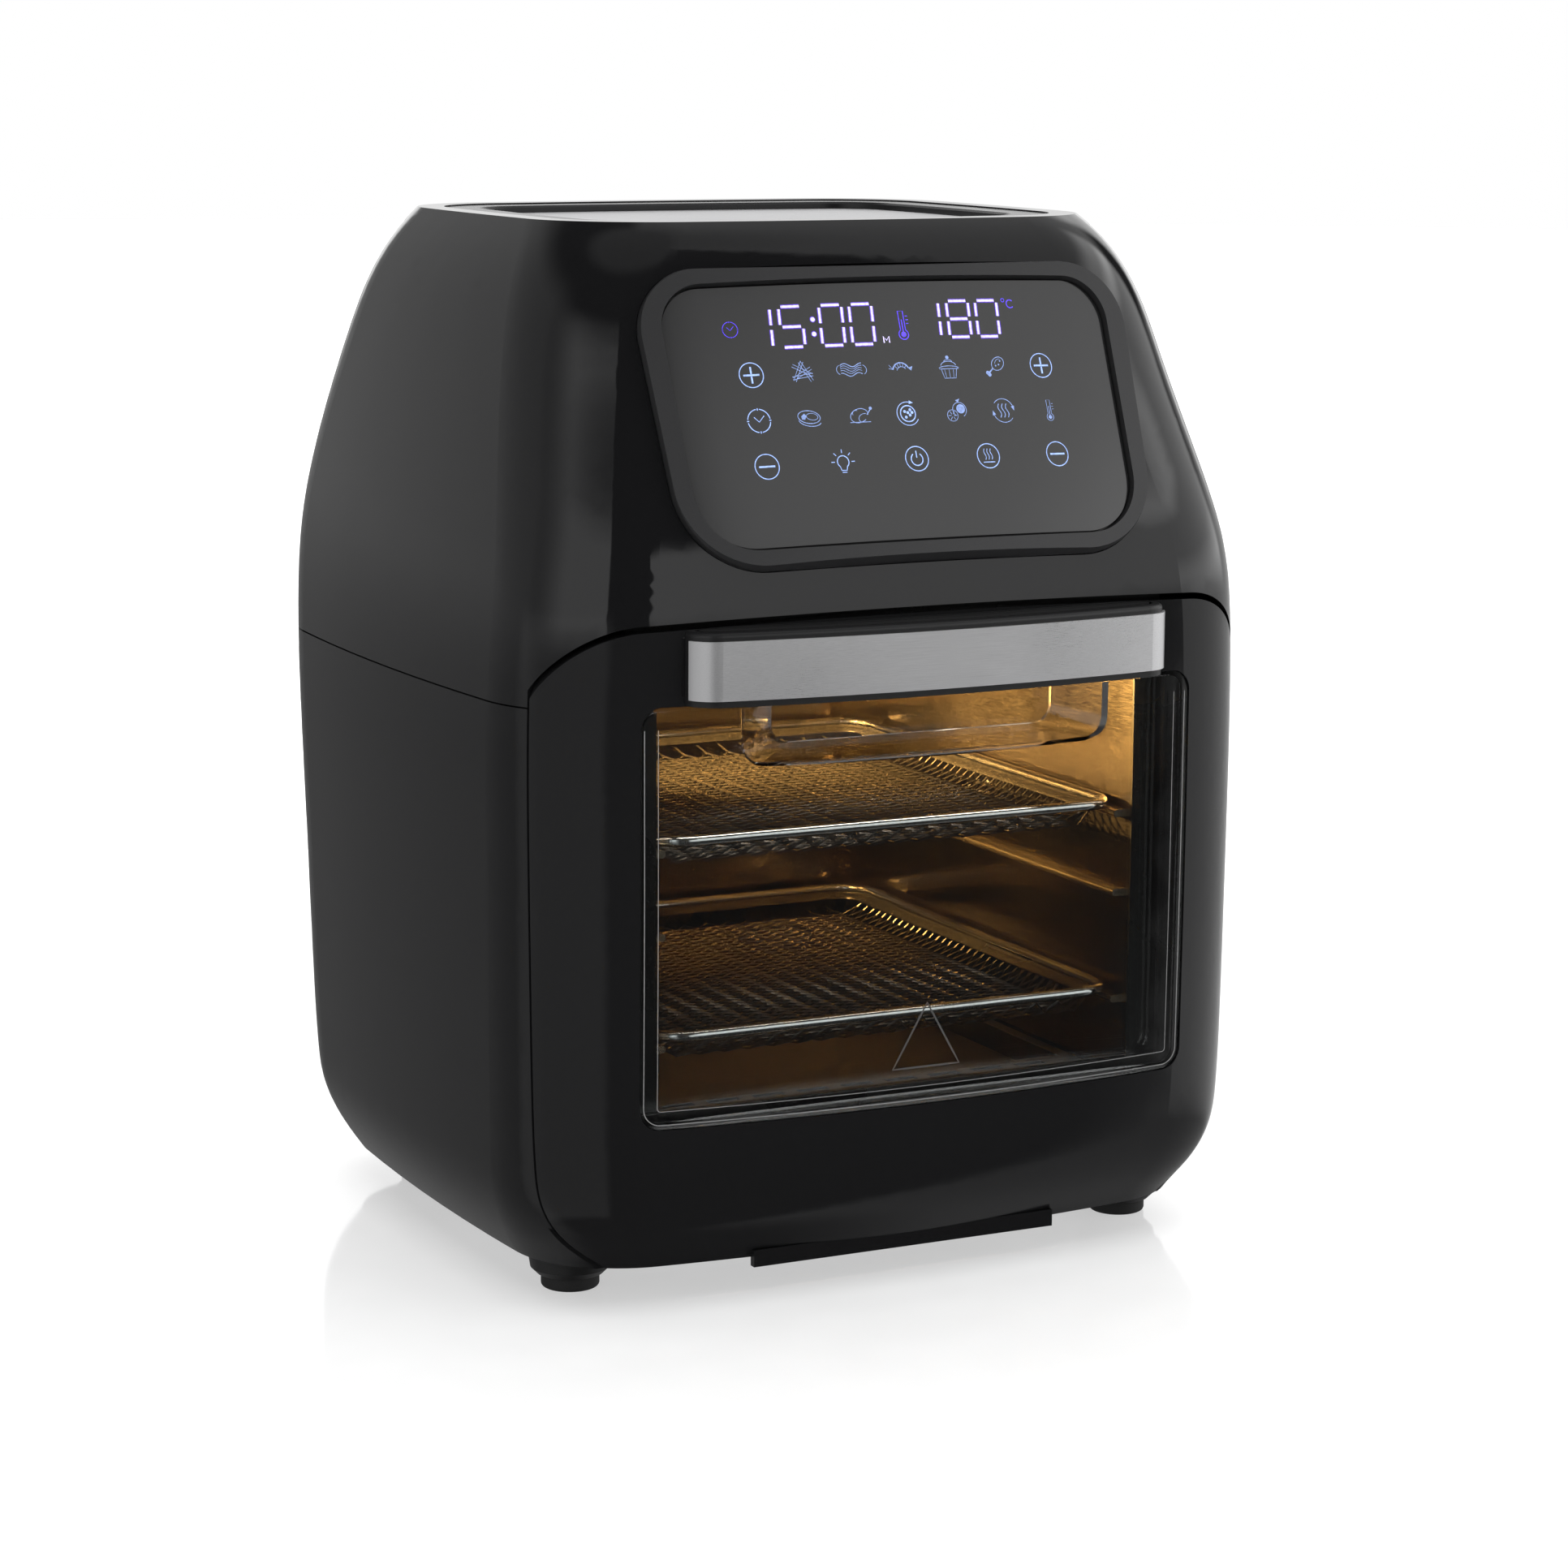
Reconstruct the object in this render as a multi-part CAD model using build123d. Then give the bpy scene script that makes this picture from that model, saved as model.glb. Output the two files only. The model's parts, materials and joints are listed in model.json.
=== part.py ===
from build123d import *
import math
import os
from functools import lru_cache

# Counter-top air-fryer oven. Millimetres, +Z up, the door faces -Y, +X to the viewer's right.
# The origin is on the table under the middle of the oven.

# ---- body shell: height, half width, front and back at the middle of each face, corner radius ----
SECTIONS = [
    (14, 141, -125, 124, 44),
    (24, 147.5, -132, 130, 46),
    (34, 152.5, -138, 134.5, 48),
    (44, 155.5, -141.3, 137.4, 50),
    (56, 156.5, -142.5, 139.2, 50),
    (90, 157.3, -143.3, 142, 50),
    (165, 158, -144, 148, 50),
    (235, 157.5, -144.3, 154, 50),
    (270, 154.2, -142.6, 156.3, 50),
    (300, 148.3, -131.8, 153, 50),
    (340, 138.8, -115, 141.5, 50),
    (372, 129, -101.5, 127.5, 48),
    (385, 121.8, -92.5, 120.5, 47),
    (394, 115, -81.5, 114, 46),
]
FRONT_BOW_R = 900
SIDE_BOW_R = 1500
SKIN = 2.6
BODY_BOTTOM = SECTIONS[0][0]
BODY_TOP = SECTIONS[-1][0]

# ---- parting lines ----
PARTING_Z = 225
PARTING_GAP = 0.6
DOOR_BACK = -113
DOOR_GAP_SIDE = 0.9
DOOR_GAP_TOP = 2.4
DOOR_TOP = 255.5
DOOR_BOTTOM = 14.5
DOOR_CORNER_R = 38
DOOR_TOP_BOW = 4.5
SEAM_X_TOP = 150.3
SEAM_X_LOW = 145.5
SEAM_Z_LOW = 43
SEAM_X_BOTTOM = 131

# ---- door ----
HINGE_Y, HINGE_Z = -116.5, 24
EYE_R = 4.5
BRACKET_X, ARM_X = 94, 98
PIN_X0, PIN_X1 = 92.4, 103
PIN_R = 2.5
RUNNING_CLEARANCE = 0.06
WINDOW_X = 113.8
WINDOW_Z0, WINDOW_Z1 = 71.2, 225.9
WINDOW_R = 8
PANE = 2.8
SCOOP_TOP = 246
SCOOP_Z0 = 203.7
SCOOP_X = 78
SCOOP_DEEP_X = 58
SCOOP_DEEP_Z0 = 208.5
SCOOP_BACK = -127
INNER_FRAME_Y = -123.5
GLASS_BACK = -118.5
GLASS_T = 3
GLASS_X, GLASS_Z0, GLASS_Z1 = 116, 68, 238
TAB_X, TAB_Z = 63.7, 11.5
TAB_FRONT = -126.8

# ---- handle ----
HANDLE_X = 97.9
HANDLE_FRONT = -156.4
TRIM_T = 1.0
TRIM_Z0, TRIM_Z1 = 229, 250.3
GRIP_Z0, GRIP_Z1 = 226.6, 253.2
HANDLE_BACK = -125
HANDLE_END_Y = -142.2
HANDLE_BOW = 7.5
HANDLE_END_R = 11
SCREW_X, SCREW_Z = 90, 240

# ---- control panel: a plane that leans back, bowed like the front ----
PANEL_ORIGIN = (0, -128.9, 309.9)
PANEL_LEAN = math.degrees(math.atan(0.42))
PANEL_BOW_R = 1000
BEZEL_TOP_X, BEZEL_LOW_X = 101, 96.5
BEZEL_S1, BEZEL_S0 = 75.5, -38.3
BEZEL_R_TOP, BEZEL_R_LOW = 25, 33
TOUCH_TOP_X, TOUCH_LOW_X = 91.5, 89.5
TOUCH_S1, TOUCH_S0 = 67.8, -30
TOUCH_R_TOP, TOUCH_R_LOW = 16, 22
BEZEL_PROUD = 1.6
TOUCH_SUNK = 0.8

# ---- cavity ----
CAVITY_X = 100
CAVITY_Y0, CAVITY_Y1 = -116, 112
CAVITY_Z0, CAVITY_Z1 = 52, 262
SHEET = 1
RAILS = (97, 139, 170)
UPPER_RAIL, LOWER_RAIL = 170, 97
PAN_DEPTH = 8
RAIL_X = 94.6
AXIS_Y = -2
GUARD_Z = 234
COIL_Z = 245
COIL_RADII = (58, 72)
COIL_R = 3.2
FAN_R = 48
SHAFT_R = 4
COOLER_R = 50
SPIT_Z = 154
LAMP_Y, LAMP_Z = 40, 212
PROBE_Z = 228
SWITCH_X, SWITCH_Z = -120.5, 233

# ---- back ----
GRILLE_X, GRILLE_Z0, GRILLE_Z1 = 46, 282, 326
GLAND_X, GLAND_Z = 96, 52

# ---- base and feet ----
KICK_Y = -97
FRONT_FOOT, REAR_FOOT = (119, -83), (110, 84)
FOOT_R, PAD_R, PAD_H = 16, 11, 5.5


def box(x0, x1, y0, y1, z0, z1):
    """Box between two corners."""
    centre = ((x0 + x1) / 2, (y0 + y1) / 2, (z0 + z1) / 2)
    return Pos(*centre) * Box(x1 - x0, y1 - y0, z1 - z0)


def rod(r, x, y, z0, z1):
    """Upright cylinder."""
    return Pos(x, y, (z0 + z1) / 2) * Cylinder(r, z1 - z0)


def rod_x(r, x0, x1, y, z):
    """Cylinder along X."""
    return Pos((x0 + x1) / 2, y, z) * Rot(0, 90, 0) * Cylinder(r, x1 - x0)


def rod_y(r, x, y0, y1, z):
    """Cylinder along Y."""
    return Pos(x, (y0 + y1) / 2, z) * Rot(90, 0, 0) * Cylinder(r, y1 - y0)


def plate_xz(outline, y0, y1):
    """Prism of an XZ outline between two depths."""
    plane = Plane(origin=(0, y0, 0), x_dir=(1, 0, 0), z_dir=(0, -1, 0))
    return extrude(plane * outline, amount=-(y1 - y0))


def both(shape):
    """The shape and its mirror image in the YZ plane, as separate solids."""
    return Compound(children=[shape, mirror(shape, Plane.YZ)])


def group(shapes):
    """Separate solids in one node."""
    return Compound(children=list(shapes))


# ---------------------------------------------------------------- body envelope
def section(half, front, back, radius, inset):
    """Rounded rectangle whose four sides bow outwards."""
    depth = (back - front) / 2
    front_bow = half**2 / (2 * FRONT_BOW_R)
    back_bow = half**2 / (2 * SIDE_BOW_R)
    side_bow = depth**2 / (2 * SIDE_BOW_R)
    x = half - side_bow - inset
    y0, y1 = front + front_bow + inset, back - back_bow - inset
    mid = (front + back) / 2
    sides = [
        ThreePointArc((-x, y0), (0, front + inset), (x, y0)),
        ThreePointArc((x, y0), (half - inset, mid), (x, y1)),
        ThreePointArc((x, y1), (0, back - inset), (-x, y1)),
        ThreePointArc((-x, y1), (-half + inset, mid), (-x, y0)),
    ]
    face = make_face(sides)
    return fillet(face.vertices(), radius - inset)


@lru_cache(maxsize=None)
def envelope(inset):
    """The body's outer form, shrunk by inset."""
    wires = [
        (Pos(0, 0, z) * section(half, front, back, radius, inset)).face().outer_wire()
        for z, half, front, back, radius in SECTIONS
    ]
    return Solid.make_loft(wires)


def layer(outer, inner):
    """Skin between two insets of the envelope, open at the top and bottom."""
    return envelope(outer) - envelope(inner)


def slab(z0, z1):
    return box(-200, 200, -200, 200, z0, z1)


def rim(inset):
    """Outline of the body's top edge, shrunk by inset."""
    _, half, front, back, radius = SECTIONS[-1]
    return section(half, front, back, radius, inset)


# ---------------------------------------------------------------- door outline
def door_outline(grow_side, grow_top, bottom):
    """Door as seen from the front: sides that draw in below, a bowed top and round top corners."""
    top = DOOR_TOP + grow_top
    slope = (SEAM_X_LOW - SEAM_X_BOTTOM) / (SEAM_Z_LOW - BODY_BOTTOM)
    foot_x = SEAM_X_LOW - slope * (SEAM_Z_LOW - bottom)
    right = [
        (foot_x + grow_side, bottom),
        (SEAM_X_LOW + grow_side, SEAM_Z_LOW),
        (SEAM_X_TOP + grow_side, top - DOOR_TOP_BOW),
    ]
    left = [(-x, z) for x, z in reversed(right)]
    sides = Polyline(*left, *right)
    face = make_face([sides, ThreePointArc(right[-1], (0, top), left[0])])
    corners = face.vertices().sort_by(Axis.Y)[-2:]
    return fillet(corners, DOOR_CORNER_R + grow_side)


def door_prism(grow_side, grow_top, y0, y1, bottom=DOOR_BOTTOM):
    return plate_xz(door_outline(grow_side, grow_top, bottom), y0, y1)


def window_prism(grow, y0, y1):
    wide = 2 * (WINDOW_X + grow)
    tall = WINDOW_Z1 - WINDOW_Z0 + 2 * grow
    outline = Pos(0, (WINDOW_Z0 + WINDOW_Z1) / 2) * RectangleRounded(wide, tall, WINDOW_R + grow)
    return plate_xz(outline, y0, y1)


def scoop(grow, front=-150):
    """Finger scoop: a pocket that narrows towards the back."""
    wide, deep = SCOOP_X + grow, SCOOP_DEEP_X + grow
    mouth_y = -141
    mouth = Plane(origin=(0, mouth_y, 0), x_dir=(1, 0, 0), z_dir=(0, 1, 0))
    mouth_z0, deep_z0 = SCOOP_Z0 - grow, SCOOP_DEEP_Z0 - grow
    top = SCOOP_TOP + grow
    rear = Plane(origin=(0, SCOOP_BACK + grow, 0), x_dir=(1, 0, 0), z_dir=(0, 1, 0))
    mouth_face = Pos(0, -(mouth_z0 + top) / 2) * RectangleRounded(2 * wide, top - mouth_z0, 7 + grow)
    rear_face = Pos(0, -(deep_z0 + top) / 2) * RectangleRounded(2 * deep, top - deep_z0, 7 + grow)
    pocket = Solid.make_loft(
        [(mouth * mouth_face).face().outer_wire(), (rear * rear_face).face().outer_wire()], True
    )
    throat = plate_xz(
        Pos(0, (mouth_z0 + top) / 2) * RectangleRounded(2 * wide, top - mouth_z0, 7 + grow), front, mouth_y
    )
    return pocket + throat


# ---------------------------------------------------------------- housings
def upper_housing():
    body = envelope(0) & slab(PARTING_Z + PARTING_GAP / 2, BODY_TOP)
    flange_z = BODY_TOP - SKIN
    body -= envelope(SKIN) & slab(PARTING_Z - 1, flange_z)
    body -= extrude(Pos(0, 0, flange_z - 5) * rim(10), amount=20)
    opening = door_prism(DOOR_GAP_SIDE, DOOR_GAP_TOP, -170, DOOR_BACK + 0.8)
    lip_z = DOOR_TOP + DOOR_GAP_TOP
    lip = (envelope(1) & box(-118, 118, -170, -118, lip_z, lip_z + SKIN)) - opening
    body = body - opening + lip
    body -= panel_prism(panel_outline(0.3), -30, 30)
    return body - rear_window(0)


def lower_housing():
    body = layer(0, SKIN) & slab(BODY_BOTTOM, PARTING_Z - PARTING_GAP / 2)
    tongue_in = SKIN + 1.6
    body += layer(SKIN - 0.1, tongue_in) & slab(PARTING_Z - 11, PARTING_Z - PARTING_GAP / 2)
    body += layer(SKIN + 0.25, tongue_in) & slab(PARTING_Z - 1, PARTING_Z + 6)
    ledge = layer(1, 12) & slab(BODY_BOTTOM, BODY_BOTTOM + SKIN) & box(-200, 200, -98, 200, 0, 50)
    body += ledge
    body -= door_prism(DOOR_GAP_SIDE, DOOR_GAP_TOP, -170, DOOR_BACK + 0.8, 5)
    body -= door_prism(DOOR_GAP_SIDE, DOOR_GAP_TOP, -170, DOOR_BACK + 2.2, 5) & slab(5, 32)
    return body - rod_y(8.1, GLAND_X, 100, 160, GLAND_Z)


def top_ring():
    ring = Pos(0, 0, 383.5) * (rim(10.3) - rim(24))
    ring = extrude(ring, amount=9.9)
    ledge = extrude(Pos(0, 0, 383.5) * (rim(23) - rim(30)), amount=4)
    return chamfer(ring.edges().group_by(Axis.Z)[-1], 0.8) + ledge


def top_plate():
    plate = extrude(Pos(0, 0, 387.6) * rim(26.5), amount=3.2)
    return fillet(plate.edges().group_by(Axis.Z)[-1], 1.2)


def rear_window(shrink):
    wide, tall = 2 * (GRILLE_X - shrink), GRILLE_Z1 - GRILLE_Z0 - 2 * shrink
    outline = Pos(0, (GRILLE_Z0 + GRILLE_Z1) / 2) * RectangleRounded(wide, tall, 6 - shrink)
    return plate_xz(outline, 110, 170)


def rear_grille():
    grille = layer(0.6, 3.2) & rear_window(0.2)
    for row in range(5):
        z = GRILLE_Z0 + 8 + 7 * row
        for column in (-1, 0, 1):
            x = 29 * column
            grille -= box(x - 12, x + 12, 110, 170, z - 1.6, z + 1.6)
    return grille


def cord_gland():
    gland = rod_y(8, GLAND_X, 120, 142, GLAND_Z) + rod_y(11, GLAND_X, 116, 122, GLAND_Z)
    return gland - rod_y(3.6, GLAND_X, 110, 160, GLAND_Z)


def base_plate():
    plate = box(-132, 132, KICK_Y, 116, 17, 18.2) + box(-132, 132, KICK_Y, KICK_Y + 1, 17, 50.5)
    plate &= envelope(SKIN + 0.8)
    for x in (-60, -30, 0, 30, 60):
        plate -= box(x - 10, x + 10, -40, -36, 10, 20)
        plate -= box(x - 10, x + 10, 36, 40, 10, 20)
    return plate


def foot_places():
    return [(side * x, y) for side in (-1, 1) for x, y in (FRONT_FOOT, REAR_FOOT)]


def foot_bodies():
    profile = Polyline((0, PAD_H), (12.6, PAD_H), (15, PAD_H + 2.4), (FOOT_R, 13.8), (0, 13.8), close=True)
    foot = revolve(Plane.XZ * make_face(profile), Axis.Z)
    foot += rod(4, 0, 0, 13.5, 16.9)
    return group(Pos(x, y, 0) * foot for x, y in foot_places())


def foot_pads():
    pad = rod(PAD_R, 0, 0, 0, PAD_H)
    pad = fillet(pad.edges().group_by(Axis.Z)[0], 1.5)
    return group(Pos(x, y, 0) * pad for x, y in foot_places())


# ---------------------------------------------------------------- control panel
def panel_plane():
    lean = math.radians(PANEL_LEAN)
    return Plane(origin=PANEL_ORIGIN, x_dir=(1, 0, 0), z_dir=(0, -math.cos(lean), math.sin(lean)))


def trapezoid(top_x, low_x, s0, s1, r_top, r_low, grow):
    top_x, low_x, s0, s1 = top_x + grow, low_x + grow, s0 - grow, s1 + grow
    face = make_face(Polyline((-low_x, s0), (low_x, s0), (top_x, s1), (-top_x, s1), close=True))
    face = fillet(face.vertices().sort_by(Axis.Y)[-2:], r_top + grow)
    return fillet(face.vertices().sort_by(Axis.Y)[:2], r_low + grow)


def panel_outline(grow):
    return trapezoid(BEZEL_TOP_X, BEZEL_LOW_X, BEZEL_S0, BEZEL_S1, BEZEL_R_TOP, BEZEL_R_LOW, grow)


def touch_outline(grow):
    return trapezoid(TOUCH_TOP_X, TOUCH_LOW_X, TOUCH_S0, TOUCH_S1, TOUCH_R_TOP, TOUCH_R_LOW, grow)


def panel_prism(outline, w0, w1):
    """Prism of a panel outline along the panel's normal."""
    return extrude(panel_plane() * Pos(0, 0, w0) * outline, amount=w1 - w0)


def panel_wedge(low, w0, high, w1):
    """Bevelled prism: outline low at height w0, outline high at height w1."""
    wires = [(panel_plane() * Pos(0, 0, w) * face).face().outer_wire() for w, face in ((w0, low), (w1, high))]
    return Solid.make_loft(wires, True)


def panel_slab(w0, w1):
    """Bowed slab that follows the panel, between two heights above its middle."""
    half = 120
    sag = half**2 / (2 * PANEL_BOW_R)
    outer = ThreePointArc((-half, w1 - sag), (0, w1), (half, w1 - sag))
    inner = ThreePointArc((half, w0 - sag), (0, w0), (-half, w0 - sag))
    face = make_face([outer, Line(outer @ 1, inner @ 0), inner, Line(inner @ 1, outer @ 0)])
    plane = panel_plane()
    across = Plane(origin=plane.origin - plane.y_dir * 60, x_dir=(1, 0, 0), z_dir=-plane.y_dir)
    return extrude(across * face, amount=-160)


def control_bezel():
    proud = panel_slab(-10, BEZEL_PROUD)
    outer = panel_wedge(panel_outline(0), -3.5, panel_outline(-2.6), BEZEL_PROUD + 1)
    outer += panel_prism(panel_outline(0), -20, -3.5)
    inner = panel_wedge(touch_outline(0.2), -9, touch_outline(1.6), BEZEL_PROUD + 1)
    inner += panel_prism(touch_outline(-4), -20, 0)
    seat = panel_slab(-8, -TOUCH_SUNK - 2.4) & panel_prism(touch_outline(2), -20, 0)
    ring = (proud & outer) - inner
    return ring + ((seat & outer) - panel_prism(touch_outline(-4), -20, 0))


def touch_glass():
    return panel_slab(-TOUCH_SUNK - 2.2, -TOUCH_SUNK) & panel_prism(touch_outline(0), -20, 10)


def display_board():
    board = panel_plane() * Pos(0, 19, -17) * Box(150, 76, 1.6)
    display = panel_plane() * Pos(-8, 52, -13.2) * Box(112, 22, 6)
    return board + display


# ---------------------------------------------------------------- door
def door_frame():
    body = envelope(0) & door_prism(0, 0, -170, DOOR_BACK)
    pocket = envelope(3) & door_prism(-6, -3, -170, DOOR_BACK + 5, 5)
    body -= pocket
    body += box(-TAB_X, TAB_X, TAB_FRONT, TAB_FRONT + 3, TAB_Z, 18)
    body -= window_prism(0.3, -170, -100)
    body -= box(-116, 116, -117.7, -100, 60, 300)
    return body - scoop(2.7) - handle_screw_holes()


def door_window():
    pane = layer(0.8, 0.8 + PANE) & window_prism(0, -170, -120)
    rim_wall = (envelope(0.8) & (window_prism(0, -170, -131.5) - window_prism(-2, -175, -130)))
    pocket_wall = (scoop(2.3) & envelope(0.8)) - scoop(0)
    above = box(-200, 200, -170, -100, WINDOW_Z1 - 0.01, 300)
    cup = pocket_wall - (above & box(-200, 200, -170, -139.2, 0, 300))
    return (pane + rim_wall) - scoop(0.05) + cup


def door_inner_frame():
    frame = door_prism(-7, -6.5, INNER_FRAME_Y, GLASS_BACK) & slab(62, DOOR_TOP) & envelope(3.4)
    frame -= box(-GLASS_X - 0.3, GLASS_X + 0.3, GLASS_BACK - GLASS_T, 0, GLASS_Z0 - 0.3, GLASS_Z1 + 0.3)
    frame -= box(-110, 110, -140, -100, 74, 231)
    frame -= box(-GLASS_X, GLASS_X, -140, -120, 200, GLASS_Z1 - 3) & scoop(4)
    return frame


def door_glass():
    return box(-GLASS_X, GLASS_X, GLASS_BACK - GLASS_T, GLASS_BACK, GLASS_Z0, GLASS_Z1)


def handle_plan(inset):
    """Bowed bar with round ends, seen from above, shrunk by inset."""
    x, front = HANDLE_X - inset, HANDLE_FRONT + TRIM_T + inset
    side = front + HANDLE_BOW
    arc = ThreePointArc((-x, side), (0, front), (x, side))
    sides = Polyline((x, side), (x, HANDLE_BACK), (-x, HANDLE_BACK), (-x, side))
    face = make_face([arc, sides])
    return fillet(face.vertices().sort_by(Axis.Y)[:2], HANDLE_END_R - inset)


def handle_grip():
    bar = extrude(Pos(0, 0, GRIP_Z0) * handle_plan(0), amount=GRIP_Z1 - GRIP_Z0)
    bar = fillet(bar.edges().group_by(Axis.Z)[-1].sort_by(Axis.Y)[:-1], 1.6)
    hollow = extrude(Pos(0, 0, GRIP_Z0 - 5) * handle_plan(3.2), amount=SCOOP_TOP - GRIP_Z0 + 5)
    hollow &= box(-86, 86, -170, -100, 200, 260)
    groove = extrude(Pos(0, 0, GRIP_Z1 - 0.9) * (handle_plan(3.5) - handle_plan(4.7)), amount=3)
    return bar - hollow - groove - envelope(-0.05) - handle_screw_holes()


def handle_trim():
    band = handle_plan(-TRIM_T) - handle_plan(-0.03)
    trim = extrude(Pos(0, 0, TRIM_Z0) * band, amount=TRIM_Z1 - TRIM_Z0)
    return trim & box(-120, 120, -170, HANDLE_END_Y, 200, 260)


def hinge_plate(strap, x, thickness, hole_r):
    """Upright plate across the hinge axis: a round eye and a strap, its outline in YZ."""
    plane = Plane(origin=(x, 0, 0), x_dir=(0, 1, 0), z_dir=(1, 0, 0))
    plate = extrude(plane * make_face(Polyline(*strap, close=True)), amount=thickness)
    plate += rod_x(EYE_R, x, x + thickness, HINGE_Y, HINGE_Z)
    return plate - rod_x(hole_r, x - 5, x + 10, HINGE_Y, HINGE_Z)


def hinge_arms():
    strap = [(HINGE_Y - EYE_R, HINGE_Z), (HINGE_Y + EYE_R, HINGE_Z), (HINGE_Y + EYE_R, 30), (-118.6, 40)]
    strap += [(-118.6, 61.6), (INNER_FRAME_Y, 61.6), (INNER_FRAME_Y, 70), (-128, 70), (-128, 55), (-122.3, 36)]
    return both(hinge_plate(strap, ARM_X, 3, PIN_R + 0.02))


def hinge_pins():
    return both(rod_x(PIN_R, PIN_X0, PIN_X1, HINGE_Y, HINGE_Z))


def hinge_brackets():
    strap = [(HINGE_Y - EYE_R, HINGE_Z), (HINGE_Y + EYE_R, HINGE_Z), (HINGE_Y + EYE_R, 32), (-117, 42)]
    strap += [(-117, 61), (-119.5, 61), (-121.2, 38)]
    return both(hinge_plate(strap, BRACKET_X, 2.6, PIN_R + RUNNING_CLEARANCE))


def door_strike():
    return both(box(117, 124, GLASS_BACK, GLASS_BACK + 0.6, 226, 240))


def handle_screw_holes():
    return group(rod_y(2.05, x, -148, -120, SCREW_Z) for x in (-SCREW_X, SCREW_X))


def handle_screws():
    screw = rod_y(2, 0, -146, -134, 0) + rod_y(3.6, 0, -135.6, -133, 0)
    return group(Pos(x, 0, SCREW_Z) * screw for x in (-SCREW_X, SCREW_X))


# ---------------------------------------------------------------- cavity
def front_frame():
    frame = door_prism(-7.5, -4.5, -117, -116) & slab(46, DOOR_TOP) & envelope(3.4)
    frame += box(-112, 112, -117, -116, 240, CAVITY_Z1)
    frame -= box(-CAVITY_X, CAVITY_X, -130, -100, CAVITY_Z0, 247)
    wing = box(136.5, 137.5, -117, -104, 60, 216)
    frame += [wing, mirror(wing, Plane.YZ)]
    frame -= rod_y(3.2, SWITCH_X, -130, -100, SWITCH_Z)
    return frame


def cavity_liner():
    x, y0, y1, z0, z1 = CAVITY_X, CAVITY_Y0, CAVITY_Y1, CAVITY_Z0, CAVITY_Z1
    liner = box(-x - SHEET, x + SHEET, y0, y1 + SHEET, z0 - SHEET, z1 + SHEET)
    liner -= box(-x, x, y0 - 1, y1, z0, z1)
    liner -= rod(9, 0, AXIS_Y, z1 - 2, z1 + 5)
    for dy in (-9, 9):
        liner -= rod(4.2, COIL_RADII[1], AXIS_Y + dy, z1 - 2, z1 + 5)
    liner -= rod_x(9.5, x - 3, x + 5, AXIS_Y, SPIT_Z)
    liner -= rod_x(15.3, -x - 5, -x + 3, LAMP_Y, LAMP_Z)
    return liner - rod_y(2.3, -62, 100, 120, PROBE_Z)


def tray_rails():
    rails = []
    for z in RAILS:
        rail = box(RAIL_X, CAVITY_X, CAVITY_Y0 + 3, CAVITY_Y1 - 4, z - 3.2, z - 0.3)
        rail = fillet(rail.edges().filter_by(Axis.Y).sort_by(Axis.X)[:2], 1.2)
        rails += [rail, mirror(rail, Plane.YZ)]
    return group(rails)


def coil_guard():
    guard = box(-99.6, 99.6, CAVITY_Y0 + 1, CAVITY_Y1 - 0.4, GUARD_Z, GUARD_Z + SHEET)
    holes = [(0, 0)]
    for ring in range(1, 6):
        for k in range(6 * ring):
            angle = 2 * math.pi * k / (6 * ring)
            holes.append((15 * ring * math.cos(angle), 15 * ring * math.sin(angle)))
    drill = Sketch() + [Pos(hx, AXIS_Y + hy) * Circle(5) for hx, hy in holes]
    return guard - extrude(Pos(0, 0, GUARD_Z - 1) * drill, amount=4)


def heating_coil():
    rings = []
    for radius, span in zip(COIL_RADII, (360, 346)):
        section_face = Plane.XZ * Pos(radius, 0) * Circle(COIL_R)
        ring = revolve(section_face, Axis.Z, revolution_arc=span)
        rings.append(Pos(0, AXIS_Y, COIL_Z) * Rot(0, 0, 7 if span < 360 else 0) * ring)
    return group(rings)


def coil_terminals():
    leg = rod(3.8, COIL_RADII[1], 0, COIL_Z + 5, CAVITY_Z1 + 10)
    return group(Pos(0, AXIS_Y + dy, 0) * leg for dy in (-9, 9))


def hot_air_fan():
    fan = rod(FAN_R, 0, AXIS_Y, 257, 258) + rod(9, 0, AXIS_Y, 246, 258)
    for k in range(8):
        blade = box(14, FAN_R - 1, -0.6, 0.6, 243, 257.2)
        fan += Pos(0, AXIS_Y, 0) * Rot(0, 0, 45 * k) * blade
    return fan - rod(SHAFT_R + 0.02, 0, AXIS_Y, 240, 262)


def motor_shaft():
    shaft = rod(SHAFT_R, 0, AXIS_Y, 240, 332)
    return shaft + rod(6.5, 0, AXIS_Y, 239, 245.6)


def cooling_fan():
    fan = rod(9, 0, AXIS_Y, 270, 284) + rod(COOLER_R, 0, AXIS_Y, 270, 271)
    for k in range(10):
        blade = box(8, COOLER_R - 1, -0.6, 0.6, 270.5, 283)
        fan += Pos(0, AXIS_Y, 0) * Rot(0, 0, 36 * k) * blade
    return fan - rod(SHAFT_R + 0.02, 0, AXIS_Y, 260, 300)


def fan_motor():
    motor = box(-32, 32, AXIS_Y - 26, AXIS_Y + 26, 292, 316)
    motor += box(-14, 14, AXIS_Y - 34, AXIS_Y + 34, 297, 311)
    motor += rod(11, 0, AXIS_Y, 290, 326)
    return motor - rod(SHAFT_R + RUNNING_CLEARANCE, 0, AXIS_Y, 280, 340)


def motor_bracket():
    bridge = box(-66, 66, AXIS_Y - 14, AXIS_Y + 14, 288, 290)
    for x in (-66, 64.5):
        bridge += box(x, x + 1.5, AXIS_Y - 14, AXIS_Y + 14, 266.2, 289)
    return bridge - rod(11.2, 0, AXIS_Y, 280, 300)


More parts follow.
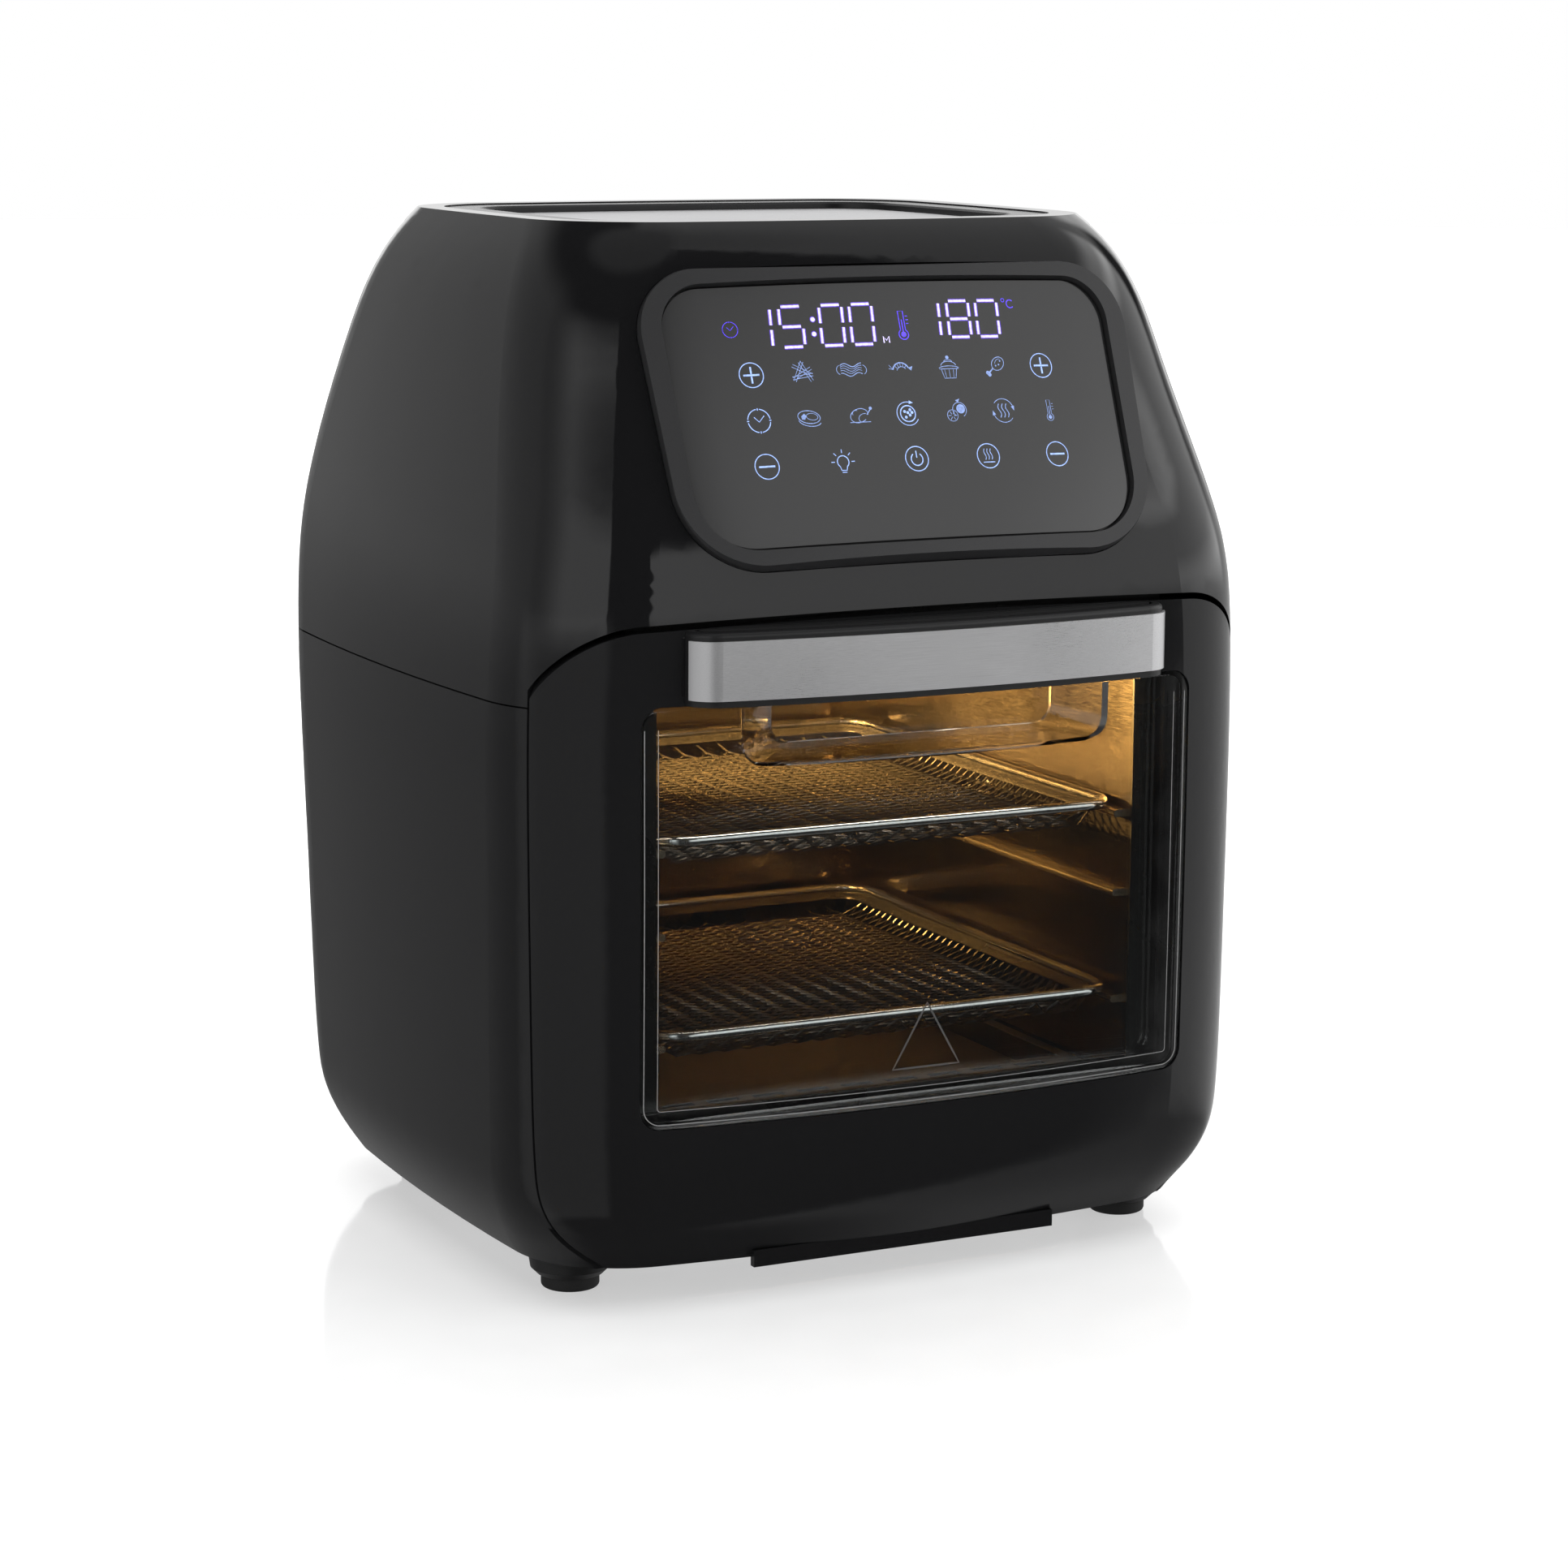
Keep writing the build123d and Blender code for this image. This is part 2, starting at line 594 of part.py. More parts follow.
def air_baffle():
    baffle = box(-112, 112, -100, 108, 264.5, 266)
    for y in (-100, 106.5):
        baffle += box(-112, 112, y, y + 1.5, 252, 265)
    baffle -= box(-CAVITY_X - 2, CAVITY_X + 2, -120, CAVITY_Y1 + 2, 200, 263.5)
    baffle -= rod(9, 0, AXIS_Y, 260, 270)
    for dy in (-9, 9):
        baffle -= rod(4.2, COIL_RADII[1], AXIS_Y + dy, 250, 280)
    return baffle


def exhaust_duct():
    outer = box(-48, 48, 62, 135, 268, 286)
    return outer - box(-46.5, 46.5, 60, 140, 269.5, 284.5)


def lamp_lens():
    lens = rod_x(15, -101, -98.2, LAMP_Y, LAMP_Z)
    return fillet(lens.edges().group_by(Axis.X)[-1], 1.2) - rod_x(12.5, -103, -99.8, LAMP_Y, LAMP_Z)


def lamp_bulb():
    bulb = rod_x(6, -112, -102.5, LAMP_Y, LAMP_Z)
    bulb = fillet(bulb.edges().group_by(Axis.X)[-1], 3)
    return bulb + rod_x(4.5, -119, -112, LAMP_Y, LAMP_Z)


def lamp_socket():
    cup = rod_x(17, -128, -101.1, LAMP_Y, LAMP_Z) - rod_x(15.5, -122, -101, LAMP_Y, LAMP_Z)
    return cup - rod_x(4.55, -125, -118, LAMP_Y, LAMP_Z)


def temperature_probe():
    return rod_y(2, -62, 78, 124, PROBE_Z) + rod_y(5, -62, 113.2, 117, PROBE_Z)


def thermal_cutout():
    return rod(9, -70, 60, 266.1, 274) + box(-74, -66, 57, 63, 273.8, 280)


def spit_coupling():
    hub = rod_x(8, 92.5, 101.8, AXIS_Y, SPIT_Z) + rod_x(3, 101, 120, AXIS_Y, SPIT_Z)
    return hub - box(91, 98.5, AXIS_Y - 3.6, AXIS_Y + 3.6, SPIT_Z - 3.6, SPIT_Z + 3.6)


def spit_motor():
    motor = rod_x(24, 105, 126, AXIS_Y, SPIT_Z) + rod_x(9, 102.2, 106, AXIS_Y, SPIT_Z)
    motor += box(105, 107, AXIS_Y - 32, AXIS_Y + 32, SPIT_Z - 7, SPIT_Z + 7)
    return motor - rod_x(3 + RUNNING_CLEARANCE, 100, 122, AXIS_Y, SPIT_Z)


def spit_fork():
    fork = box(-100, -92.5, AXIS_Y - 8, AXIS_Y + 8, SPIT_Z - 9, SPIT_Z + 5)
    notch = box(-101, -90, AXIS_Y - 3.4, AXIS_Y + 3.4, SPIT_Z - 2, SPIT_Z + 8)
    return fork - notch - box(-98.6, -90, AXIS_Y - 6, AXIS_Y + 6, SPIT_Z - 12, SPIT_Z - 5)


def tray_rim(level):
    """Round wire loop that rests on a pair of rails."""
    wide, long, r = 2 * 96.2, 214.0, 14
    path = (Pos(0, AXIS_Y - 3, level + 2) * RectangleRounded(wide, long, r)).face().outer_wire()
    start = path @ 0
    return sweep(Plane(origin=start, z_dir=path % 0) * Circle(2), path)


def tray_mesh(level):
    """Shallow pressed pan with a pierced floor, hung inside the wire loop."""
    centre = Pos(0, AXIS_Y - 3, 0)
    floor_z, top_z = level - PAN_DEPTH, level + 1.2

    def pan(shrink, z0):
        low = Pos(0, AXIS_Y - 3, z0) * RectangleRounded(176 - shrink, 196 - shrink, 12)
        high = Pos(0, AXIS_Y - 3, top_z) * RectangleRounded(188 - shrink, 209.6 - shrink, 12)
        return Solid.make_loft([low.face().outer_wire(), high.face().outer_wire()], True)

    dish = pan(0, floor_z) - pan(2, floor_z + 1)
    holes = centre * (Sketch() + [loc * Rectangle(9, 9) for loc in GridLocations(13, 13, 13, 15)])
    return dish - extrude(Pos(0, 0, floor_z - 1) * holes, amount=3)


def drip_tray():
    wide, y0, y1 = 96, -111, 103
    tray = box(-wide, wide, y0, y1, 53, 64)
    tray = fillet(tray.edges().filter_by(Axis.Z), 8)
    inner = box(-wide + 1.2, wide - 1.2, y0 + 1.2, y1 - 1.2, 54.2, 70)
    tray -= fillet(inner.edges().filter_by(Axis.Z), 6.8)
    lip = box(-wide - 2.5, wide + 2.5, y0 - 1.5, y1 + 2, 64, 65)
    lip = fillet(lip.edges().filter_by(Axis.Z), 9)
    lip -= box(-wide + 3, wide - 3, y0 + 34, y1 - 3, 60, 70)
    for y in (y0 + 15, y0 + 27):
        for k in range(9):
            x = 19 * (k - 4)
            lip -= box(x - 6.5, x + 6.5, y - 2.2, y + 2.2, 60, 70)
    return tray + lip


# ---------------------------------------------------------------- electrics
def door_switch():
    body = box(SWITCH_X - 9, SWITCH_X + 9, -115.6, -104, SWITCH_Z - 6, SWITCH_Z + 6)
    return body - rod_y(2.2 + RUNNING_CLEARANCE, SWITCH_X, -120, -106, SWITCH_Z)


def switch_plunger():
    pin = rod_y(2.2, SWITCH_X, -117.8, -109, SWITCH_Z)
    return fillet(pin.edges().group_by(Axis.Y)[0], 0.8)


def power_board():
    board = box(-148, -146.4, -50, 60, 110, 196)
    parts = box(-146.4, -130, -40, -8, 120, 150) + box(-146.4, -134, 4, 40, 128, 152)
    parts += box(-146.4, -136, -30, 10, 164, 182)
    return board + parts


def board_standoffs():
    posts = [rod_x(2.5, -151.5, -148, y, z) for y in (-44, 54) for z in (116, 190)]
    return group(posts)


def terminal_block():
    return box(84, 108, 100, 116, 20, 34)


def base_screws():
    screw = rod(3.2, 0, 0, 18.2, 20.2)
    return group(Pos(x, y, 0) * screw for x, y in foot_places())


NODES = {
    "upper_housing": upper_housing,
    "lower_housing": lower_housing,
    "top_ring": top_ring,
    "top_plate": top_plate,
    "rear_grille": rear_grille,
    "cord_gland": cord_gland,
    "base_plate": base_plate,
    "foot_bodies": foot_bodies,
    "foot_pads": foot_pads,
    "base_screws": base_screws,
    "control_bezel": control_bezel,
    "touch_glass": touch_glass,
    "display_board": display_board,
    "door_frame": door_frame,
    "door_window": door_window,
    "door_inner_frame": door_inner_frame,
    "door_glass": door_glass,
    "handle_grip": handle_grip,
    "handle_trim": handle_trim,
    "handle_screws": handle_screws,
    "hinge_arms": hinge_arms,
    "hinge_pins": hinge_pins,
    "hinge_brackets": hinge_brackets,
    "door_strike": door_strike,
    "front_frame": front_frame,
    "cavity_liner": cavity_liner,
    "tray_rails": tray_rails,
    "coil_guard": coil_guard,
    "heating_coil": heating_coil,
    "coil_terminals": coil_terminals,
    "hot_air_fan": hot_air_fan,
    "motor_shaft": motor_shaft,
    "cooling_fan": cooling_fan,
    "fan_motor": fan_motor,
    "motor_bracket": motor_bracket,
    "air_baffle": air_baffle,
    "exhaust_duct": exhaust_duct,
    "lamp_lens": lamp_lens,
    "lamp_bulb": lamp_bulb,
    "lamp_socket": lamp_socket,
    "temperature_probe": temperature_probe,
    "thermal_cutout": thermal_cutout,
    "spit_coupling": spit_coupling,
    "spit_motor": spit_motor,
    "spit_fork": spit_fork,
    "upper_tray_rim": lambda: tray_rim(UPPER_RAIL),
    "upper_tray_mesh": lambda: tray_mesh(UPPER_RAIL),
    "lower_tray_rim": lambda: tray_rim(LOWER_RAIL),
    "lower_tray_mesh": lambda: tray_mesh(LOWER_RAIL),
    "drip_tray": drip_tray,
    "door_switch": door_switch,
    "switch_plunger": switch_plunger,
    "power_board": power_board,
    "board_standoffs": board_standoffs,
    "terminal_block": terminal_block,
}

os.makedirs("parts", exist_ok=True)
for name, build in NODES.items():
    export_step(build(), f"parts/{name}.step")
    print(name)
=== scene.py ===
"""Looks of a counter-top air-fryer oven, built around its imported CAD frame."""
import json
import math

import bmesh
import bpy
from mathutils import Matrix, Vector


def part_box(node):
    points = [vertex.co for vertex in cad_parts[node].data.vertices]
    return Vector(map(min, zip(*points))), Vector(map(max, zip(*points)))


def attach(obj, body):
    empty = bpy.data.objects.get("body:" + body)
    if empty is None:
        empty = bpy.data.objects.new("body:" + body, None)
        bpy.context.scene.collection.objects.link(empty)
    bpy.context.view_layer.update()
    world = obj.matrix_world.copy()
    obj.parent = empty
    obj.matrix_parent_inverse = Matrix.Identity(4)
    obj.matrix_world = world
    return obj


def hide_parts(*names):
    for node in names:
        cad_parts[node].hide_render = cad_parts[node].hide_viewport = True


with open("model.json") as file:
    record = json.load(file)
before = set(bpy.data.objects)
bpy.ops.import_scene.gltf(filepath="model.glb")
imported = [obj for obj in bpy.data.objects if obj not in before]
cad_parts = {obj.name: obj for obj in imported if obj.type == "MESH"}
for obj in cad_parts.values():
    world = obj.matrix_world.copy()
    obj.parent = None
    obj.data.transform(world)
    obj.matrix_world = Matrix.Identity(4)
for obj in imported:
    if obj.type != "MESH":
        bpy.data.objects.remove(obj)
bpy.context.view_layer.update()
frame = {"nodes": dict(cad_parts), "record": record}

NODES = frame["nodes"]
MM = 0.001

# ---- control panel: a plane that leans back, bowed across its width (millimetres) ----
PANEL_ORIGIN = Vector((0, -128.9, 309.9))
PANEL_LEAN = math.atan(0.42)
PANEL_BOW_R = 1003.6
GLASS_LEVEL = -0.8
INK_LIFT, GLOW_LIFT = 0.06, 0.03
BAR_THICK, GLOW_THICK = 0.92, 1.6
DIGIT_LEAN = 0.07

# ---- window pane in the door (millimetres) ----
WINDOW_HALF, WINDOW_LOW, WINDOW_HIGH = 113.8, 71.2, 225.9
WINDOW_R = 8
# triangle on the pane: a flat grey stroke, a painted highlight for the edge of a triangle moulded in the
# clear glass
OUTLINE_CORNERS = ((-14.7, 85.2), (13.1, 85.2), (-0.8, 109.5))
OUTLINE_LIFT, OUTLINE_WIDE = 0.08, 0.75
# painted highlights of the window's edges: flat grey ribbons for the pane's bevel and the edges seen behind
# it
RIM_HIGHLIGHT_LIFT = 0.07
RIM_HIGHLIGHT_LINES = (("outer", 1.5, 0.36), ("inner", 6.6, 0.26))   # label, inset, width

# ---- trays (millimetres) ----
TRAY_CENTRE_Y = -5
TRAY_TOP_WIDE, TRAY_TOP_LONG = 188, 209.4
TRAY_CORNER_R = 12
TRAY_FLOOR_DROP, TRAY_EDGE_RISE = 8, 1.2
TRAY_WALL = 6
SHEET_LIFT = 0.7
DIAMOND_WIDE, DIAMOND_LONG = 10, 5.4
STRAND, STRAND_TWIST = 1.1, 0.3
EDGE_PROFILE = ((0, 1.2), (0, 0.2), (0.9, -0.6), (4.6, -1.6), (4.9, -0.9), (1.5, 0.1), (0.8, 0.7), (0.7, 1.2))


# ------------------------------------------------------------------ material kit
def add_node(tree, kind, links=None, **inputs):
    """New shader node with its sockets set, and linked from the given outputs."""
    node = tree.nodes.new(kind)
    for name, value in inputs.items():
        node.inputs[name.replace("_", " ")].default_value = value
    for name, output in (links or {}).items():
        tree.links.new(output, node.inputs[name])
    return node


def new_material(name, **sockets):
    """Principled material; sockets are set on the shader itself."""
    mat = bpy.data.materials.new(name)
    mat.use_nodes = True
    shader = mat.node_tree.nodes["Principled BSDF"]
    for socket, value in sockets.items():
        shader.inputs[socket.replace("_", " ")].default_value = value
    return mat, mat.node_tree, shader


def place(tree, stretch):
    """Object coordinates in metres, stretched along the axes."""
    coords = tree.nodes.new("ShaderNodeTexCoord")
    return add_node(tree, "ShaderNodeMapping", {"Vector": coords.outputs["Object"]}, Scale=stretch)


def noise(tree, where, scale, detail=3.0, rough=0.5):
    """Noise value at the mapped place."""
    node = add_node(tree, "ShaderNodeTexNoise", {"Vector": where.outputs["Vector"]},
                    Scale=scale, Detail=detail, Roughness=rough)
    return node.outputs["Fac"]


def spread(tree, value, low, high, start=0.3, end=0.7):
    """Maps the useful part of a noise onto a range."""
    node = add_node(tree, "ShaderNodeMapRange", {"Value": value})
    for socket, number in zip(("From Min", "From Max", "To Min", "To Max"), (start, end, low, high)):
        node.inputs[socket].default_value = number
    return node.outputs["Result"]


def two_tone(tree, value, dark, light):
    """Colour between dark and light, by a noise value."""
    ramp = add_node(tree, "ShaderNodeValToRGB", {"Fac": value})
    ramp.color_ramp.elements[0].position = 0.32
    ramp.color_ramp.elements[1].position = 0.68
    ramp.color_ramp.elements[0].color = (*dark, 1)
    ramp.color_ramp.elements[1].color = (*light, 1)
    return ramp.outputs["Color"]


def relief(tree, shader, height, strength, depth):
    """Bump of the given depth in metres."""
    bump = add_node(tree, "ShaderNodeBump", {"Height": height}, Strength=strength, Distance=depth)
    tree.links.new(bump.outputs["Normal"], shader.inputs["Normal"])


def finish(name, dark, light, gloss, grain=900, patch=9, bump=0.05, **sockets):
    """Surface with fine grain in its colour and bump, and gloss that wanders in broad soft patches between
    two limits.
    """
    mat, tree, shader = new_material(name, **sockets)
    fine = noise(tree, place(tree, (1, 1, 1)), grain, 4, 0.6)
    broad = noise(tree, place(tree, (1, 1, 1)), patch, 2)
    tree.links.new(two_tone(tree, fine, dark, light), shader.inputs["Base Color"])
    tree.links.new(spread(tree, broad, *gloss), shader.inputs["Roughness"])
    relief(tree, shader, fine, bump, 0.0001)
    return mat


def brushed(name, dark, light, gloss, along=(1, 60, 60), grain=60, bump=0.08, Metallic=1.0, **sockets):
    """Brushed metal: long fine scratches along one axis and faint handling marks."""
    mat, tree, shader = new_material(name, Metallic=Metallic, **sockets)
    lines = noise(tree, place(tree, along), grain, 8, 0.7)
    marks = noise(tree, place(tree, (1, 1, 1)), 14, 3)
    tree.links.new(two_tone(tree, lines, dark, light), shader.inputs["Base Color"])
    both = add_node(tree, "ShaderNodeMath")
    tree.links.new(spread(tree, lines, *gloss), both.inputs[0])
    tree.links.new(spread(tree, marks, -0.03, 0.05), both.inputs[1])
    tree.links.new(both.outputs["Value"], shader.inputs["Roughness"])
    relief(tree, shader, lines, bump, 0.00015)
    return mat


def clear(name, tint, gloss=(0.0, 0.006)):
    """Clear pane with a trace of waviness and of wiped haze."""
    mat, tree, shader = new_material(name, Base_Color=(*tint, 1), Transmission_Weight=1.0, IOR=1.46)
    haze = noise(tree, place(tree, (1, 1, 3)), 11, 4)
    waves = noise(tree, place(tree, (1, 1, 1)), 14, 1)
    tree.links.new(spread(tree, haze, *gloss), shader.inputs["Roughness"])
    relief(tree, shader, waves, 0.01, 0.0001)
    return mat


def lit(name, colour, strength, flicker=0.15):
    """Ink or glass that gives light, a little uneven over its area."""
    mat, tree, shader = new_material(name, Roughness=0.4, Emission_Color=(*colour, 1))
    uneven = noise(tree, place(tree, (1, 1, 1)), 900, 2)
    tree.links.new(spread(tree, uneven, strength * (1 - flicker), strength * (1 + flicker)),
                   shader.inputs["Emission Strength"])
    tree.links.new(two_tone(tree, uneven, [0.5 * c for c in colour], colour), shader.inputs["Base Color"])
    return mat


BLACK_SHELL = dict(grain=1400, patch=7, bump=0.012)
MATERIALS = {
    "upper_shell": lambda: finish("upper_shell", (0.0055, 0.0055, 0.006), (0.008, 0.008, 0.0085),
                                  (0.025, 0.05), Specular_IOR_Level=0.5, **BLACK_SHELL),
    "lower_shell": lambda: finish("lower_shell", (0.006, 0.006, 0.0064), (0.0085, 0.0085, 0.009),
                                  (0.03, 0.06), Specular_IOR_Level=0.5, **BLACK_SHELL),
    "door_shell": lambda: finish("door_shell", (0.008, 0.008, 0.0084), (0.011, 0.011, 0.0115),
                                 (0.025, 0.05), Specular_IOR_Level=0.5, **BLACK_SHELL),
    "top_trim": lambda: finish("top_trim", (0.012, 0.012, 0.013), (0.018, 0.018, 0.019), (0.22, 0.32),
                               grain=2200, bump=0.08),
    "top_steel": lambda: brushed("top_steel", (0.36, 0.36, 0.37), (0.55, 0.55, 0.56), (0.24, 0.36)),
    "bezel_grey": lambda: finish("bezel_grey", (0.016, 0.016, 0.017), (0.023, 0.023, 0.024), (0.3, 0.4),
                                 grain=2600, bump=0.1),
    "touch_panel": lambda: finish("touch_panel", (0.009, 0.009, 0.0095), (0.014, 0.014, 0.0145), (0.1, 0.14),
                                  grain=1800, bump=0.01, Specular_IOR_Level=0.9),
    "black_plastic": lambda: finish("black_plastic", (0.008, 0.008, 0.0085), (0.013, 0.013, 0.0135),
                                    (0.34, 0.48), grain=2400, bump=0.15),
    "clear_window": lambda: clear("clear_window", (0.96, 0.97, 0.97)),
    "inner_glass": lambda: clear("inner_glass", (0.95, 0.98, 0.97)),
    "handle_steel": lambda: brushed("handle_steel", (0.66, 0.66, 0.67), (0.84, 0.84, 0.85), (0.27, 0.36),
                                    along=(0.5, 60, 170), bump=0.03, Metallic=0.8),
    "screw_steel": lambda: brushed("screw_steel", (0.35, 0.35, 0.35), (0.6, 0.6, 0.6), (0.25, 0.4),
                                   along=(8, 8, 8), grain=200),
    "hinge_steel": lambda: brushed("hinge_steel", (0.3, 0.3, 0.31), (0.5, 0.5, 0.51), (0.3, 0.45),
                                   along=(20, 20, 4)),
    "black_enamel": lambda: finish("black_enamel", (0.008, 0.0078, 0.0075), (0.016, 0.0155, 0.015),
                                   (0.22, 0.34), grain=700, bump=0.15),
    "liner_steel": lambda: brushed("liner_steel", (0.14, 0.118, 0.094), (0.22, 0.188, 0.152), (0.12, 0.2),
                                   along=(30, 2, 30), bump=0.04),
    "rail_steel": lambda: brushed("rail_steel", (0.5, 0.42, 0.3), (0.68, 0.58, 0.44), (0.16, 0.26),
                                  along=(40, 2, 40), bump=0.05),
    "wire_steel": lambda: brushed("wire_steel", (0.66, 0.66, 0.66), (0.86, 0.86, 0.86), (0.08, 0.16),
                                  along=(30, 30, 30), grain=30, bump=0.05),
    "mesh_steel": lambda: finish("mesh_steel", (0.03, 0.027, 0.024), (0.08, 0.073, 0.064), (0.2, 0.3),
                                 grain=500, Metallic=0.9, bump=0.2),
    "drip_enamel": lambda: finish("drip_enamel", (0.008, 0.008, 0.008), (0.018, 0.0175, 0.017),
                                  (0.5, 0.62), grain=1500, bump=0.25, Specular_IOR_Level=0.2),
    "heater_sheath": lambda: brushed("heater_sheath", (0.1, 0.09, 0.08), (0.26, 0.23, 0.2), (0.35, 0.5),
                                     along=(20, 20, 20), grain=30),
    "fan_metal": lambda: brushed("fan_metal", (0.5, 0.5, 0.5), (0.68, 0.68, 0.68), (0.25, 0.38)),
    "fan_nylon": lambda: finish("fan_nylon", (0.014, 0.014, 0.014), (0.022, 0.022, 0.022), (0.4, 0.55)),
    "motor_steel": lambda: brushed("motor_steel", (0.2, 0.2, 0.21), (0.42, 0.42, 0.43), (0.35, 0.5),
                                   along=(2, 2, 300)),
    "galvanised": lambda: finish("galvanised", (0.36, 0.37, 0.38), (0.62, 0.63, 0.64), (0.28, 0.5),
                                 grain=140, Metallic=0.95, bump=0.05),
    "ceramic_white": lambda: finish("ceramic_white", (0.68, 0.66, 0.6), (0.78, 0.76, 0.7), (0.25, 0.4)),
    "lamp_glass": lambda: clear("lamp_glass", (1.0, 0.9, 0.7), (0.2, 0.35)),
    "bulb_glass": lambda: lit("bulb_glass", (1.0, 0.66, 0.28), 18),
    "probe_steel": lambda: brushed("probe_steel", (0.45, 0.44, 0.42), (0.68, 0.66, 0.63), (0.2, 0.3)),
    "board_green": lambda: finish("board_green", (0.01, 0.07, 0.03), (0.02, 0.12, 0.05), (0.3, 0.45),
                                  grain=260),
    "switch_plastic": lambda: finish("switch_plastic", (0.55, 0.54, 0.5), (0.66, 0.65, 0.6), (0.35, 0.5)),
    "foot_rubber": lambda: finish("foot_rubber", (0.009, 0.009, 0.009), (0.016, 0.016, 0.016),
                                  (0.6, 0.8), grain=1800, bump=0.3),
}


def dress_frame():
    """Gives every CAD node the procedural material of its slot."""
    made = {name: build() for name, build in MATERIALS.items()}
    for entry in frame["record"]["subparts"]:
        slots = NODES[entry["node"]].data.materials
        mat = made[entry["material_slot"]]
        for index in range(len(slots)):
            slots[index] = mat
        if not slots:
            slots.append(mat)
    return made


# ------------------------------------------------------------------ mesh kit
def new_piece(name, bm, mat, body, smooth=False):
    """Object made from a bmesh, riding on a body."""
    mesh = bpy.data.meshes.new(name)
    bm.to_mesh(mesh)
    bm.free()
    piece = bpy.data.objects.new(name, mesh)
    bpy.context.scene.collection.objects.link(piece)
    mesh.materials.append(mat)
    for polygon in mesh.polygons:
        polygon.use_smooth = smooth
    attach(piece, body)
    return piece


def panel_point(x, s, lift):
    """Point over the touch glass: x across, s up the slope, in millimetres."""
    across = Vector((1, 0, 0))
    up = Vector((0, math.sin(PANEL_LEAN), math.cos(PANEL_LEAN)))
    out = Vector((0, -math.cos(PANEL_LEAN), math.sin(PANEL_LEAN)))
    bow = x * x / (2 * PANEL_BOW_R)
    return (PANEL_ORIGIN + across * x + up * s + out * (GLASS_LEVEL + lift - bow)) * MM


def surface_point(node, x, z, side):
    """Where a node's front (side -1) or back (side 1) is, at a place given in millimetres; and its normal."""
    piece = NODES[node]
    turn = piece.matrix_world.inverted()
    start = turn @ (Vector((x, 200 * side, z)) * MM)
    _, hit, normal, _ = piece.ray_cast(start, turn.to_3x3() @ Vector((0, -side, 0)))
    return piece.matrix_world @ hit, piece.matrix_world.to_3x3() @ normal


def pane_point(x, z, lift):
    """Point over the front of the door's window pane, in millimetres across and up."""
    return surface_point("door_window", x, z, -1)[0] - Vector((0, lift * MM, 0))


class Ink:
    """Flat strokes and fills drawn on the touch glass, or on another surface."""

    def __init__(self, lift=INK_LIFT, surface=panel_point):
        self.bm = bmesh.new()
        self.lift, self.surface = lift, surface
        self.x, self.s = 0, 0
        self.scale, self.weight = 1, 1

    def move_to(self, x, s, scale=1, weight=1):
        self.x, self.s = x, s
        self.scale, self.weight = scale, weight

    def vertex(self, x, s):
        return self.bm.verts.new(self.surface(self.x + x * self.scale, self.s + s * self.scale, self.lift))

    def fill(self, points):
        self.bm.faces.new([self.vertex(x, s) for x, s in points])

    def stroke(self, points, width, closed=False):
        """Ribbon along points, with mitred corners."""
        count = len(points)
        sides = []
        for i, (x, s) in enumerate(points):
            before = points[i - 1] if (i or closed) else points[i]
            after = points[(i + 1) % count] if (i + 1 < count or closed) else points[i]
            direction = Vector((after[0] - before[0], after[1] - before[1])).normalized()
            normal = Vector((-direction.y, direction.x)) * width * self.weight / 2
            sides.append((self.vertex(x + normal.x, s + normal.y), self.vertex(x - normal.x, s - normal.y)))
        last = count if closed else count - 1
        for i in range(last):
            a, b = sides[i], sides[(i + 1) % count]
            self.bm.faces.new((a[0], b[0], b[1], a[1]))

    def line(self, x0, s0, x1, s1, width=0.5):
        self.stroke([(x0, s0), (x1, s1)], width)

    def arc(self, x, s, r, start, end, width=0.5, squeeze=1.0, turn=0.0):
        """Arc in degrees from start to end; squeeze flattens it and turn rotates it."""
        count = max(8, int(abs(end - start) / 9))
        full = abs(end - start) >= 359.9
        steps = count if full else count + 1
        points = []
        for k in range(steps):
            angle = math.radians(start + (end - start) * k / count)
            px, ps = r * math.cos(angle), r * squeeze * math.sin(angle)
            c, n = math.cos(math.radians(turn)), math.sin(math.radians(turn))
            points.append((x + px * c - ps * n, s + px * n + ps * c))
        self.stroke(points, width, full)

    def dot(self, x, s, r):
        turns = [2 * math.pi * k / 14 for k in range(14)]
        self.fill([(x + r * math.cos(a), s + r * math.sin(a)) for a in turns])

    def wave(self, x, s0, s1, swing, width):
        """Upright wavy line."""
        points = []
        for k in range(15):
            t = k / 14
            points.append((x + swing * math.sin(2 * math.pi * t), s0 + (s1 - s0) * t))
        self.stroke(points, width)

    def arrow_head(self, x, s, angle, size):
        a = math.radians(angle)
        tip = (x + size * math.cos(a), s + size * math.sin(a))
        left = (x + 0.6 * size * math.cos(a + 2.1), s + 0.6 * size * math.sin(a + 2.1))
        right = (x + 0.6 * size * math.cos(a - 2.1), s + 0.6 * size * math.sin(a - 2.1))
        self.fill([tip, left, right])


# ------------------------------------------------------------------ symbols of the panel
def draw_ring(ink):
    ink.arc(0, 0, 4.9, 0, 360, 0.5)


def draw_plus(ink):
    draw_ring(ink)
    ink.line(-3.3, 0, 3.3, 0, 0.95)
    ink.line(0, 0.475, 0, 3.3, 0.95)
    ink.line(0, -3.3, 0, -0.475, 0.95)


def draw_minus(ink):
    draw_ring(ink)
    ink.line(-3.3, 0, 3.3, 0, 0.95)


def draw_clock(ink):
    for quarter in range(4):
        ink.arc(0, 0, 4.6, 90 * quarter + 8, 90 * quarter + 82, 0.5)
        angle = math.radians(90 * quarter)
        ink.line(4.1 * math.cos(angle), 4.1 * math.sin(angle), 5 * math.cos(angle), 5 * math.sin(angle))
    ink.stroke([(-1.9, 1.5), (0, -0.5), (2.3, 1.9)], 0.45)


